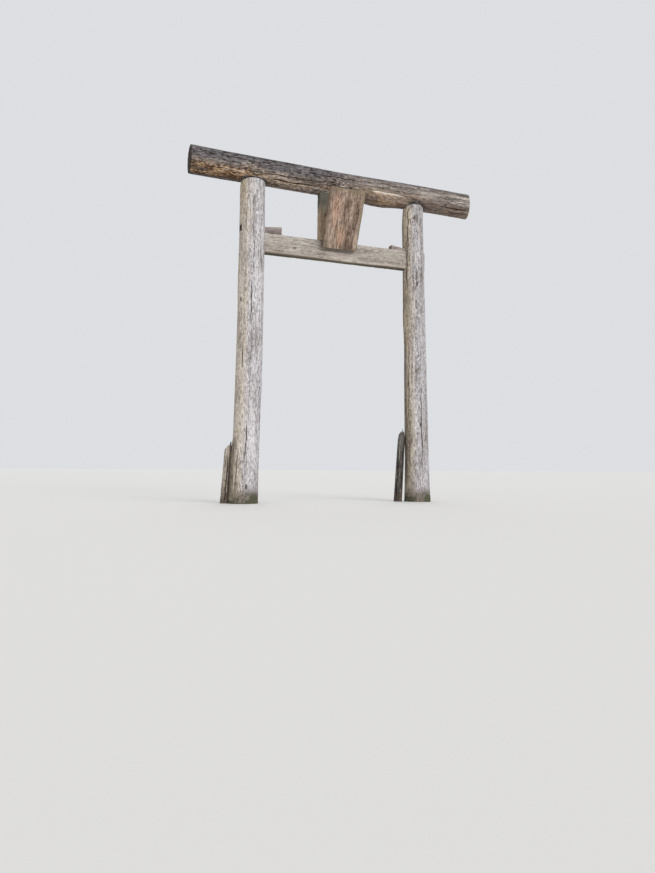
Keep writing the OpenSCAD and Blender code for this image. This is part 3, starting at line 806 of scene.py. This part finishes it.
brownLook = {
    "mainTones": [(0.0, 62, 54, 51), (0.30, 116, 106, 101), (0.62, 153, 143, 136), (1.0, 200, 192, 185)],
    "secondTones": [(0.0, 74, 52, 37), (0.32, 132, 102, 75), (0.66, 178, 144, 109), (1.0, 216, 183, 147)],
    "darkTone": (44, 35, 30), "worn": (196, 188, 179), "paleTone": (218, 207, 195), "knotTone": (66, 50, 40),
    # the stain tones here paint the top log's dark patches and seat rims: painted shade
    "stainAndShadeTone": (14, 12, 12), "stainAndShadePale": (112, 107, 110), "crackTone": (28, 22, 19),
    "gritScale": 96, "layers": (0.17, 0.22, 0.41, 0.20), "contrast": (0.438, 0.562),
    "fleckFrom": 0.53, "fleckShare": 1.0, "paleShare": 0.95,
}
brownWood = makeLogWood("topLogWood", brownLook)
# near-black end faces: dark damp end grain, and painted shade
logEndWood = makeEndWood("logEndWood", {
    "middle": (0, 0.008, gate["axisHeight"] - 0.006), "plane": (0, 1, 1), "ringWidth": 0.0055,
    "darkTone": (24, 19, 17), "tones": [(0.25, 32, 27, 24), (0.5, 52, 44, 38), (0.75, 80, 69, 60)]})
makeTopLog("topLog", topLogLook, [leftPostLook, rightPostLook], [brownWood, logEndWood, cutWood])


# outline of a timber's section: straight sides and eased corners, as evenly spaced points
def easedOutline(corners, ease, step):
    corners = [np.array(c, dtype=float) for c in corners]
    loop = []
    for i, corner in enumerate(corners):
        before, after = corners[i - 1], corners[(i + 1) % len(corners)]
        start = corner + (before - corner) / np.linalg.norm(before - corner) * ease
        end = corner + (after - corner) / np.linalg.norm(after - corner) * ease
        for t in np.linspace(0, 1, 5):                # a soft corner between the two sides
            loop.append((start * (1 - t) + corner * t) * (1 - t) + (corner * (1 - t) + end * t) * t)
        leave = after + (corner - after) / np.linalg.norm(corner - after) * ease
        count = max(1, int(np.linalg.norm(leave - end) / step))
        loop += [end + (leave - end) * k / count for k in range(1, count)]
    return np.array(loop)


def boxOutline(low, high, ease, step):
    return easedOutline([low, (high[0], low[1]), high, (low[0], high[1])], ease, step)


# the same closed outline with another number of points
def resample(loop, count):
    closed = np.concatenate([loop, loop[:1]])
    walked = np.concatenate([[0], np.cumsum(np.linalg.norm(np.diff(closed, axis=0), axis=1))])
    spots = np.arange(count) / count * walked[-1]
    return np.stack([np.interp(spots, walked, closed[:, k]) for k in (0, 1)], -1)


timberForm = {
    "cornerCount": 4, "cracks": (), "knots": (), "blushesAndLight": (),      # what most sawn pieces have
    "crackDepth": 0.004, "crackWander": 0.012, "crackReach": 0.01, "knotStretch": 0.6, "reliefUnit": 0.002,
    "endShares": (0.97, 0.8, 0.55, 0.3, 0.1),
}


# a length of timber from one outline, or from one for each station along it
def makeTimber(name, outline, length, look, toWorld):
    look = {**timberForm, **look}
    seed, count = look["seed"], look["rows"]
    sections = outline * np.ones((count, 1, 1))
    around = sections.shape[1]
    ahead, back = np.roll(sections, -1, 1), np.roll(sections, 1, 1)
    tangent = ahead - back
    tangent /= np.linalg.norm(tangent, axis=2, keepdims=True)
    outward = np.stack([tangent[..., 1], -tangent[..., 0]], -1)
    sharpness = np.linalg.norm(ahead + back - 2 * sections, axis=2)
    turn = np.arange(around)[None, :] / around * np.ones((count, 1))
    share, along = (np.linspace(0, end, count)[:, None] * np.ones((1, around)) for end in (1, length))
    relief, crack, edge, knot = np.zeros((4, count, around))
    roughen(relief, turn, share, look, seed, (8, 6), 0.4)
    for i, (point, low, high, width) in enumerate(look["cracks"]):    # a place on the section, then along it
        gapTo = sections - np.array(point)
        drift = (softNoise(0 * share, share, 1, 9, seed + 50 + i) - 0.5) * look["crackWander"]
        thin = 0.6 + 0.8 * softNoise(0 * share, share, 1, 40, seed + 60 + i)
        off = np.abs(gapTo[..., 0] - drift) / (width / 2 * thin)
        near = np.abs(gapTo[..., 1]) < look["crackReach"]
        crack = np.maximum(crack, near * taper((along - low) / (high - low)) * np.clip(1.3 - off, 0, 1))
    relief -= look["crackDepth"] * np.clip(crack, 0, 1)
    level = np.sort(sharpness[0])[-4 * look["cornerCount"]]
    edge[sharpness > level * 0.7] = 1
    for _ in range(3):
        edge = np.maximum(edge, 0.6 * np.maximum(np.roll(edge, 1, 1), np.roll(edge, -1, 1)))
    chips = softNoise(turn, share, max(8, around // 6), max(8, count // 3), seed + 70)
    relief -= edge * smoothStep(chips, 0.55, 0.9) * look["chip"]
    shaped = sections + outward * relief[..., None]
    for point, place, size in look["knots"]:
        beside = np.linalg.norm(sections - np.array(point), axis=2)
        away = np.hypot(beside, (along - place) * look["knotStretch"]) / size
        knot = np.maximum(knot, 1 - smoothStep(away, 0.5, 1.05))
    spots = {}
    for kind in ("stainAndShadeSpots", "blushesAndLight"):                # a place on the section, along it, size and reach
        spots[kind] = np.zeros((count, around))
        for point, place, size, reach in look[kind]:
            beside = np.linalg.norm(sections - np.array(point), axis=2)
            away = np.hypot(beside / size, (along - place) / reach)
            spots[kind] = np.maximum(spots[kind], 1 - smoothStep(away, 0.3, 1.1))
    masks = {"grain": np.concatenate([sections, along[..., None]], -1), "knot": knot, "edge": edge,
             "crack": np.clip(crack, 0, 1), "stain": spots["stainAndShadeSpots"], "blush": spots["blushesAndLight"],
             "side": look["sideOf"](outward, along), "relief": np.clip(relief / look["reliefUnit"], -1, 1)}
    rings = toWorld(shaped, along)
    for atStart in (True, False):
        rings = closeEnd(rings, masks, atStart, look["endShares"])
    return skinRings(name, rings, masks)


tieBeamLook = {
    "seed": 301, "ease": 0.006, "step": 0.0045, "rows": 210, "chip": 0.0022,
    "waves": [(3, 5, 0.0012), (12, 16, 0.0008), (40, 60, 0.0005)], "fissures": [(34, 9, 0.0012, 16)],
    "knots": [((-0.033, 0.06), 0.42, 0.010), ((-0.033, 0.11), 1.02, 0.008), ((0.033, 0.08), 0.8, 0.012)],
    # the first is painted shadow: a thin dark line under the plaque's lower edge
    "stainAndShadeSpots": [((-0.033, 0.071), 0.815, 0.006, 0.15), ((-0.033, 0.045), 1.345, 0.034, 0.006),
               ((-0.033, 0.0), 0.35, 0.014, 0.60), ((-0.033, 0.0), 1.25, 0.012, 0.30)],
    # painted light: a paler patch on the beam's face under the plaque, where the plaque shades it
    "blushesAndLight": [((-0.033, 0.036), 0.815, 0.050, 0.20)],
    # the underside takes the side tones: painted shade, and greener wood
    "sideOf": lambda outward, along: smoothStep(-outward[..., 1], 0.3, 0.9) * 0.9,
}


def makeTieBeam(name, look, materials):
    halfT, height, gap = beamHigh[1], beamTop - beamLow[2], gate["tenonGap"]
    outline = boxOutline((-halfT, 0), (halfT, height), look["ease"], look["step"])

    def toWorld(shaped, along):
        y, z = np.clip(shaped[..., 0], -halfT, halfT), np.clip(shaped[..., 1], 0, height)
        return np.stack([beamLow[0] + along, y, beamLow[2] + z], -1)

    piece = makeTimber(name, outline, beamHigh[0] - beamLow[0], look, toWorld)
    half, thick = gate["boardTenonLength"] / 2, gate["boardTenonThick"] / 2
    carve(piece, makeBlock((middleX - half - gap, -thick - gap, boardLow[2] - gap),
                           (middleX + half + gap, thick + gap, beamTop + clear)))
    boreRods(piece, "pin")
    dress(piece, "tie_beam", materials, [facing((1, 0, 0))])


tieBeamWood = makeTimberWood("tieBeamWood", {
    "tones": [(0.0, 115, 107, 99), (0.32, 157, 150, 141), (0.66, 181, 175, 167), (1.0, 207, 203, 195)],
    # darker side tones for the underside: painted shade, and greener wood
    "sideTones": [(0.0, 56, 50, 37), (0.5, 92, 85, 67), (1.0, 124, 115, 95)],
    "darkTone": (78, 66, 57), "edgeTone": (206, 196, 184), "edgeShare": 0.30, "knotTone": (92, 74, 60),
    # the blush tone lightens the beam under the plaque: painted light
    "stainAndShadeTone": (104, 92, 80), "blushAndLightTone": (232, 220, 210), "blushAndLightShare": 0.58,
    "contrast": (0.39, 0.61), "weights": (0.34, 0.26, 0.40), "stretch": 0.05, "gritStretch": 0.45,
    "shift": 0.37, "broadScale": 18, "streakScale": 90, "speckScale": 90, "speckFrom": 0.66,
    "speckShare": 0.6, "checkScale": 46, "sawPitch": 0.006})
timberEndWood = makeEndWood("timberEndWood", {
    "middle": (0, 0.05, 1.90), "plane": (0, 1, 1), "ringWidth": 0.005, "darkTone": (60, 50, 42),
    "tones": [(0.25, 146, 131, 121), (0.5, 184, 169, 159), (0.75, 214, 201, 191)]})
makeTieBeam("tieBeam", tieBeamLook, [tieBeamWood, timberEndWood])

# each wedge is driven in from the gate's inside above the tie beam
wedgeLooks = {
    "left_wedge": {"inner": 0.049, "free": 0.061, "seed": 401},
    "right_wedge": {"inner": 0.018, "free": 0.036, "seed": 431},
}
wedgeShare = {
    "ease": 0.0035, "step": 0.0035, "rows": 70, "chip": 0.0015, "freeLength": 0.130,
    "waves": [(3, 3, 0.0010), (12, 6, 0.0007), (40, 26, 0.0005)], "fissures": [(16, 3, 0.0010, 12)],
    # painted shade: a dark band along one lower edge of each wedge, where it sits on the tie beam
    "stainAndShadeSpots": [((-0.029, 0.0), 0.17, 0.011, 0.12)],
    "sideOf": lambda outward, along: smoothStep(-outward[..., 1], 0.3, 0.9),
}


def makeWedge(name, node, materials):
    look = {**wedgeShare, **wedgeLooks[node]}
    low, high = np.array(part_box(node))
    length, halfW, onLeft = high[0] - low[0], high[1], node == "left_wedge"
    driven = length - look["freeLength"]
    slope, halfGap = (look["free"] - look["inner"]) / look["freeLength"], gate["tenonGap"] / 2
    outlines = []
    for place in np.linspace(0, length, look["rows"]):     # measured from the driven end
        height = look["inner"] - halfGap + slope * (place - driven)
        height += halfGap * min(1, max(0, (place - driven) / look["freeLength"]))
        step = look["step"] * height / look["free"]
        outlines.append(boxOutline((-halfW, 0), (halfW, height), look["ease"], step))
    count = min(len(s) for s in outlines)

    def toWorld(shaped, along):
        x = low[0] + along if onLeft else high[0] - along
        y = np.clip(shaped[..., 0], -halfW, halfW)
        return np.stack([x, y if onLeft else -y, low[2] + np.maximum(shaped[..., 1], 0)], -1)

    piece = makeTimber(name, np.array([resample(s, count) for s in outlines]), length, look, toWorld)
    dress(piece, node, materials, [facing((1, 0, 0))])


wedgeWood = makeTimberWood("wedgeWood", {
    "tones": [(0.0, 104, 94, 90), (0.35, 142, 132, 129), (0.68, 165, 156, 153), (1.0, 192, 184, 180)],
    "sideTones": [(0.0, 70, 60, 54), (0.5, 98, 86, 78), (1.0, 124, 112, 104)],
    "darkTone": (58, 48, 44), "edgeTone": (178, 170, 164), "edgeShare": 0.3, "stainAndShadeTone": (70, 56, 50),
    "stretch": 0.06, "gritStretch": 0.35, "shift": 0.81, "broadScale": 26, "streakScale": 120,
    "speckScale": 120, "speckFrom": 0.64, "checkScale": 70, "sawPitch": 0.004})
wedgeEndWood = makeEndWood("wedgeEndWood", {
    "middle": (0, 0.09, 2.0), "plane": (0, 1, 1), "ringWidth": 0.004, "darkTone": (52, 44, 40),
    "tones": [(0.25, 92, 82, 76), (0.5, 122, 112, 106), (0.75, 152, 142, 136)]})
makeWedge("leftWedge", "left_wedge", [wedgeWood, wedgeEndWood])
makeWedge("rightWedge", "right_wedge", [wedgeWood, wedgeEndWood])

boardLook = {
    "seed": 501, "ease": 0.005, "step": 0.005, "rows": 84, "chip": 0.002,
    "waves": [(4, 4, 0.0016), (16, 8, 0.0010), (60, 40, 0.0006)], "fissures": [(30, 4, 0.0016, 14)],
    "knots": [((-0.10, -0.035), 0.20, 0.014), ((0.06, 0.035), 0.12, 0.016)],
    # painted shade: the board's upper front is painted darker, under the log and behind the plaque
    "stainAndShadeSpots": [((-0.15, -0.035), 0.36, 0.20, 0.14), ((0.15, -0.035), 0.36, 0.20, 0.14)],
    "sideOf": lambda outward, along: smoothStep(along, 0.10, 0.36) * 0.9,
}


def makeCentreBoard(name, look, materials):
    halfW, halfT = (boardHigh[0] - boardLow[0]) / 2, boardHigh[1]
    outline = boxOutline((-halfW, -halfT), (halfW, halfT), look["ease"], look["step"])

    def toWorld(shaped, along):
        x, y = np.clip(shaped[..., 0], -halfW, halfW), np.clip(shaped[..., 1], -halfT, halfT)
        return np.stack([middleX + x, y, beamTop + along], -1)

    piece = makeTimber(name, outline, boardHigh[2] - beamTop, look, toWorld)
    half, thick = gate["boardTenonLength"] / 2, gate["boardTenonThick"] / 2
    carve(piece, makeBlock((middleX - half, -thick, boardLow[2]),
                           (middleX + half, thick, beamTop + rooted)), "UNION")
    boreRods(piece, "stay")
    dress(piece, "centre_board", materials, [facing((0, 0, 1))])


boardWood = makeTimberWood("centreBoardWood", {
    "tones": [(0.0, 114, 95, 76), (0.35, 162, 140, 117), (0.68, 188, 166, 142), (1.0, 212, 191, 166)],
    "sideTones": [(0.0, 100, 100, 90), (0.5, 142, 142, 130), (1.0, 172, 171, 158)],
    "darkTone": (46, 37, 28), "edgeTone": (150, 132, 110), "edgeShare": 0.35, "knotTone": (50, 38, 28),
    "stainAndShadeTone": (78, 77, 68), "stretch": 0.05, "gritStretch": 0.25, "shift": 0.53, "broadScale": 16,
    "streakScale": 80, "speckScale": 110, "speckFrom": 0.63, "checkScale": 50, "roughness": 0.86})
boardEndWood = makeEndWood("boardEndWood", {
    "middle": (middleX, 0.12, 0), "plane": (1, 1, 0), "ringWidth": 0.005, "darkTone": (38, 30, 22),
    "tones": [(0.25, 70, 56, 42), (0.5, 96, 80, 62), (0.75, 122, 106, 84)]})
makeCentreBoard("centreBoard", boardLook, [boardWood, boardEndWood])

# the plaque's section lies across its face: x to the right, depth from the face backwards
plaqueLook = {
    "width": 0.290, "height": 0.448, "thick": 0.062, "tilt": 25.4, "drop": 0.075, "gap": 0.0005,
    # the log's own round edge is left on both sides: inwards from the side, then depth
    "wane": [(0.025, 0), (0.010, 0.012), (0.002, 0.026)],
    "widestAt": 0.62, "backInset": 0.003,             # as a share of the thickness, and in metres
    "crown": 0.004, "crownReach": 0.03,               # how uneven the upper end is
    "seed": 601, "ease": 0.005, "step": 0.0036, "rows": 150, "chip": 0.0026, "cornerCount": 6,
    "waves": [(4, 3, 0.0030), (14, 8, 0.0018), (44, 9, 0.0010), (110, 40, 0.0005)],
    "fissures": [(46, 5, 0.0018, 16), (90, 8, 0.0010, 10)],
    "cracks": [((0.097, 0), 0.20, 0.33, 0.006), ((0.082, 0), 0.10, 0.19, 0.003),
               ((-0.070, 0), 0.26, 0.43, 0.003), ((0.030, 0), 0.02, 0.13, 0.003)],
    "knots": [((0.108, 0), 0.085, 0.014), ((-0.05, 0.062), 0.3, 0.02)],
    "stainAndShadeSpots": [((0.05, 0), 0.45, 0.10, 0.06), ((-0.08, 0), 0.46, 0.07, 0.05),
               ((0.128, 0), 0.42, 0.034, 0.13), ((0.130, 0.01), 0.20, 0.026, 0.22),
               ((-0.125, 0), 0.0, 0.03, 0.02), ((0.10, 0), 0.0, 0.05, 0.02)],
    "blushesAndLight": [((-0.085, 0), 0.28, 0.055, 0.16), ((-0.02, 0), 0.10, 0.05, 0.10)],
    # the waney sides take the side tones: painted shade, and the browner wood of the waney edge
    "sideOf": lambda outward, along: smoothStep(np.abs(outward[..., 0]), 0.45, 1.10) * 0.95,
}


def makePlaque(name, look, materials):
    w, t, tall, tilt = look["width"] / 2, look["thick"], look["height"], math.radians(look["tilt"])
    side = [(w - x, y) for x, y in look["wane"]] + [(w, t * look["widestAt"]), (w - look["backInset"], t)]
    mirrored = [(-x, y) for x, y in reversed(side)]
    outline = easedOutline(mirrored[-1:] + side + mirrored[:-1], look["ease"], look["step"])
    y0 = beamLow[1] - look["gap"] - t * math.cos(tilt)
    z0 = beamTop - look["drop"]

    def toWorld(shaped, along):
        depth = np.clip(shaped[..., 1], -touch, t)
        ragged = softNoise((shaped[..., 0] + w) / (2 * w) * 0.98, depth / t, 24, 3, look["seed"] + 90)
        along = along - look["crown"] * ragged * smoothStep(along, tall - look["crownReach"], tall)
        return np.stack([middleX + shaped[..., 0], y0 + depth * math.cos(tilt) - along * math.sin(tilt),
                         z0 + depth * math.sin(tilt) + along * math.cos(tilt)], -1)

    piece = makeTimber(name, outline, tall, look, toWorld)
    for kind in ("pin", "stay"):
        boreRods(piece, kind, 0)
    dress(piece, "plaque", materials, [facing((0, -math.sin(tilt), math.cos(tilt)))])


plaqueWood = makeTimberWood("plaqueWood", {
    "tones": [(0.0, 86, 70, 59), (0.28, 126, 108, 95), (0.60, 158, 138, 124), (1.0, 203, 183, 167)],
    # darker side tones: painted shade on the waney sides, and their browner wood
    "sideTones": [(0.0, 74, 60, 47), (0.5, 120, 101, 82), (1.0, 160, 139, 115)],
    "darkTone": (70, 54, 46), "edgeTone": (186, 170, 154), "edgeShare": 0.22, "knotTone": (176, 158, 140),
    "stainAndShadeTone": (126, 115, 94), "crackTone": (62, 49, 43), "blushAndLightTone": (220, 179, 151), "blushAndLightShare": 0.52,
    "contrast": (0.418, 0.582), "weights": (0.30, 0.37, 0.33), "stretch": 0.085, "gritStretch": 0.30,
    "shift": 0.21, "broadScale": 26, "streakScale": 120, "speckScale": 90, "speckFrom": 0.60,
    "checkScale": 55, "roughness": 0.80})
plaqueEndWood = makeEndWood("plaqueEndWood", {
    "middle": (middleX + 0.02, 0.10, 2.0), "plane": (1, 1, 0), "ringWidth": 0.005, "darkTone": (62, 50, 42),
    "tones": [(0.25, 96, 80, 66), (0.5, 130, 112, 94), (0.75, 160, 142, 122)]})
makePlaque("plaqueSlab", plaqueLook, [plaqueWood, plaqueEndWood])


stakeLooks = {
    "left_stake": {"post": leftPostLook, "height": 0.478, "seed": 2, "crownTurn": 24,
                   "cracks": [(262, 0.02, 0.36, 0.007, 0.9), (60, 0.05, 0.45, 0.010, 1.0)]},
    "right_stake": {"post": rightPostLook, "height": 0.600, "seed": 5, "crownTurn": 100,
                    "cracks": [(215, 0.02, 0.30, 0.008, 1.0), (285, 0.10, 0.50, 0.009, 1.0),
                               (60, 0.05, 0.45, 0.010, 1.0)]},
}
stakeShare = {
    "radius": 0.034, "slimmer": 0.14, "splinter": 0.092, "lean": 0.062, "turn": 14, "gap": 0.0004,
    "around": 150, "rows": 120,
    "knots": [], "waves": [(3, 4, 0.0020), (9, 8, 0.0024), (24, 10, 0.0018), (60, 40, 0.0012)],
    "fissures": [(12, 4, 0.0035, 8), (30, 8, 0.0024, 9)],
    "flecks": [(200, 0.10, 0.28, 0.008, 0.7), (250, 0.16, 0.34, 0.006, 0.6), (228, 0.30, 0.56, 0.007, 0.8)],
    "sideBands": [(250, 60, 25, 0.7), (80, 50, 25, 0.6)],
    "rottenAndShadedSide": 330,                                # where it meets the post, darker with rot and painted shade
    # the rotten core sinks below the rim, by shares of its width and of its height over the heart
    "core": [(0.86, 0.93), (0.66, 0.70), (0.42, 0.45), (0.18, 0.30)], "coreDepth": 0.05, "coreCrack": 0.45,
}


def makeStake(name, node, materials):
    look = {**stakeShare, **stakeLooks[node]}
    post, seed, splinter = look["post"], look["seed"], look["splinter"]
    tall, behind = look["height"] - splinter, math.radians(look["turn"])
    topR = (1 - look["slimmer"]) * look["radius"]
    reach = (postRadius(tall, post) * lumps(np.pi - behind, tall / headHeight, post["seed"])
             + topR * lumps(-behind, 1, seed) + look["gap"])
    topX, y0 = postAxis(tall, post) - reach * math.cos(behind), reach * math.sin(behind)
    angle, u = logGrid(look["around"], np.linspace(0, 1, look["rows"]))
    # the broken top: one long side and ragged splinters all around
    turn = angle / fullTurn
    ragged = 0.5 * softNoise(turn, 0 * u, 38, 1, seed) + 0.5 * softNoise(turn, 0 * u, 15, 1, seed + 1)
    longSide = 0.62 + 0.38 * np.cos(angle + np.radians(look["crownTurn"]))
    z = u * (tall + splinter * longSide * (0.45 + 0.55 * ragged))
    radius = look["radius"] * (1 - look["slimmer"] * np.clip(z / tall, 0, 1))
    relief, masks = logSurface(angle, z, look["radius"], look["height"], look)
    innerSide = 1 - smoothStep(np.abs(angleGap(angle, look["rottenAndShadedSide"])), 0.7, 1.1)
    masks["side"] = bands(angle, look["sideBands"])
    masks["moss"] = 0.55 * (1 - smoothStep(z, 0.02, 0.09)) * softNoise(turn, u, 8, 9, 5)
    # the side against the post is painted dark: rot, and painted shade between stake and post
    masks["stain"] = np.maximum(0.8 * (1 - smoothStep(z, 0.02, 0.14)), 1.1 * innerSide)
    masks["wear"] = 0.40 * smoothStep(z, tall - 0.20, tall + 0.02) * (1 - innerSide)
    thin = 1 - 0.35 * smoothStep(z, tall - 0.02, tall + splinter * 0.8)
    snug = 1 - smoothStep(np.abs(angleGap(angle, -look["turn"])), 0.5, 0.9)    # close to the post there
    q = (radius * lumps(angle, u, seed) + np.minimum(relief, 0) * (1 - 0.85 * snug)) * thin
    x = topX - look["lean"] * (tall - z)
    rings = np.stack([x + q * np.cos(angle), y0 + q * np.sin(angle), z], -1)
    heart = np.array([topX, y0, tall - look["coreDepth"]])
    core = [heart + (rings[-1:] - heart) * np.array([s, s, h]) for s, h in look["core"]]
    rings = np.concatenate([rings, *core])
    for key, values in masks.items():
        masks[key] = np.concatenate([values, np.repeat(values[-1:], len(core), axis=0)])
    masks["crack"][-len(core) + 1:] = look["coreCrack"]
    rings = closeEnd(rings, masks, True, (0.6, 0.2))
    dress(skinRings(name, rings, masks), node, materials)


rottenLook = {
    "mainTones": [(0.0, 118, 110, 100), (0.30, 168, 161, 152), (0.62, 203, 196, 186), (1.0, 230, 224, 214)],
    "secondTones": [(0.0, 102, 91, 80), (0.35, 146, 133, 119), (0.68, 179, 166, 150), (1.0, 208, 196, 180)],
    "darkTone": (60, 50, 42), "worn": (196, 188, 175), "paleTone": (210, 202, 188), "knotTone": (60, 48, 38),
    "stainAndShadeTone": (58, 48, 41), "stainAndShadePale": (102, 90, 79), "crackTone": (34, 28, 24),
    "gritScale": 110, "layers": (0.28, 0.24, 0.38, 0.10), "contrast": (0.40, 0.60),
    "fleckFrom": 0.56, "fleckShare": 0.5, "paleShare": 0.3, "roughness": 0.90,
}
greyRottenTones = {
    "mainTones": [(0.0, 46, 44, 43), (0.30, 74, 72, 71), (0.62, 100, 98, 96), (1.0, 138, 136, 132)],
    "secondTones": [(0.0, 44, 40, 38), (0.35, 70, 66, 63), (0.68, 94, 90, 86), (1.0, 126, 121, 115)],
    "worn": (150, 146, 140), "paleTone": (160, 155, 147),
}
makeStake("leftStake", "left_stake", [makeLogWood("brownRottenWood", rottenLook)])
makeStake("rightStake", "right_stake", [makeLogWood("greyRottenWood", {**rottenLook, **greyRottenTones})])

iron = makeRustedIron(ironLook)
spikeLook = {
    "sides": 40, "headRadius": 0.0154, "headThick": 0.005, "hammered": 0.0007,
    "tip": [(0.75, 0.0), (1, 0.006)],                 # share of the shaft's radius, and height
    # the slightly domed head, by shares of its radius and of its thickness
    "dome": [(0.96, 0), (1, 0.3), (0.97, 0.62), (0.85, 0.84), (0.6, 0.96), (0.25, 1)],
}


def makeSpike(name, node, look, post):
    x, shaft, length = postAxis(headHeight, post), gate["spikeRadius"], gate["spikeLength"]
    low = spikeTop(x) - length
    profile = [(shaft * r, z) for r, z in (*look["tip"], (1, length - 0.002), (1, length))]
    shaftRings = len(profile)
    profile += [(look["headRadius"] * r, length + look["headThick"] * z) for r, z in look["dome"]]
    angle = np.arange(look["sides"]) * fullTurn / look["sides"]
    rings = []
    for i, (r, z) in enumerate(profile):
        rough = softNoise(angle / fullTurn, 0 * angle, 9, 1, 40 + i // 4) * look["hammered"]
        q = r - rough * (i >= shaftRings)
        rings.append(np.stack([x + q * np.cos(angle), q * np.sin(angle), low + z + 0 * angle], -1))
    dress(skinRings(name, np.array(rings), {}), node, [iron])


makeSpike("leftSpike", "left_spike", spikeLook, leftPostLook)
makeSpike("rightSpike", "right_spike", spikeLook, rightPostLook)
for nodeName in ("left_pin", "right_pin", "left_stay", "right_stay"):
    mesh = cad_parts[nodeName].data
    mesh.materials.clear()
    mesh.materials.append(iron)
print("ironwork finished")


studio = {
    "floorTone": (222, 220, 216), "floorHalf": 150, "worldTone": (236, 238, 242), "worldLight": 0.86,
    # name, the side it shines from, strength, softness in degrees, colour
    "suns": [("mainLight", (2.8, -6.0, 1.9), 1.84, 45, (1.0, 0.985, 0.970)),
             ("fillLight", (-5.0, -4.0, 1.5), 0.40, 60, (0.98, 0.985, 1.0)),
             ("backLight", (1.5, 5.0, 3.0), 0.50, 60, (0.95, 0.98, 1.0))],
}


def makeStudio():
    half = studio["floorHalf"]
    mesh = bpy.data.meshes.new("studioFloor")
    corners = [(-half, -half, 0), (half, -half, 0), (half, half, 0), (-half, half, 0)]
    mesh.from_pydata(corners, [], [(0, 1, 2, 3)])
    paleFloor = startMaterial("paleFloor")[0]
    finishMaterial(paleFloor, {"Base Color": tone(*studio["floorTone"]), "Roughness": 0.9})
    mesh.materials.append(paleFloor)
    floor = addObject("studioFloor", mesh)
    for name, place, strength, softness, colour in studio["suns"]:
        light = bpy.data.lights.new(name, "SUN")
        light.energy, light.angle, light.color = strength, math.radians(softness), colour
        lamp = addObject(name, light)
        lamp.location = place
        lamp.rotation_euler = Vector(place).to_track_quat("Z", "Y").to_euler()
    world = bpy.data.worlds.new("studioWorld")
    bpy.context.scene.world = world
    world.use_nodes = True
    background = world.node_tree.nodes["Background"]
    background.inputs["Color"].default_value = tone(*studio["worldTone"])
    background.inputs["Strength"].default_value = studio["worldLight"]
    bpy.context.scene.view_settings.view_transform = "Standard"       # tones stay as the materials give them


makeStudio()
print("studio lit")
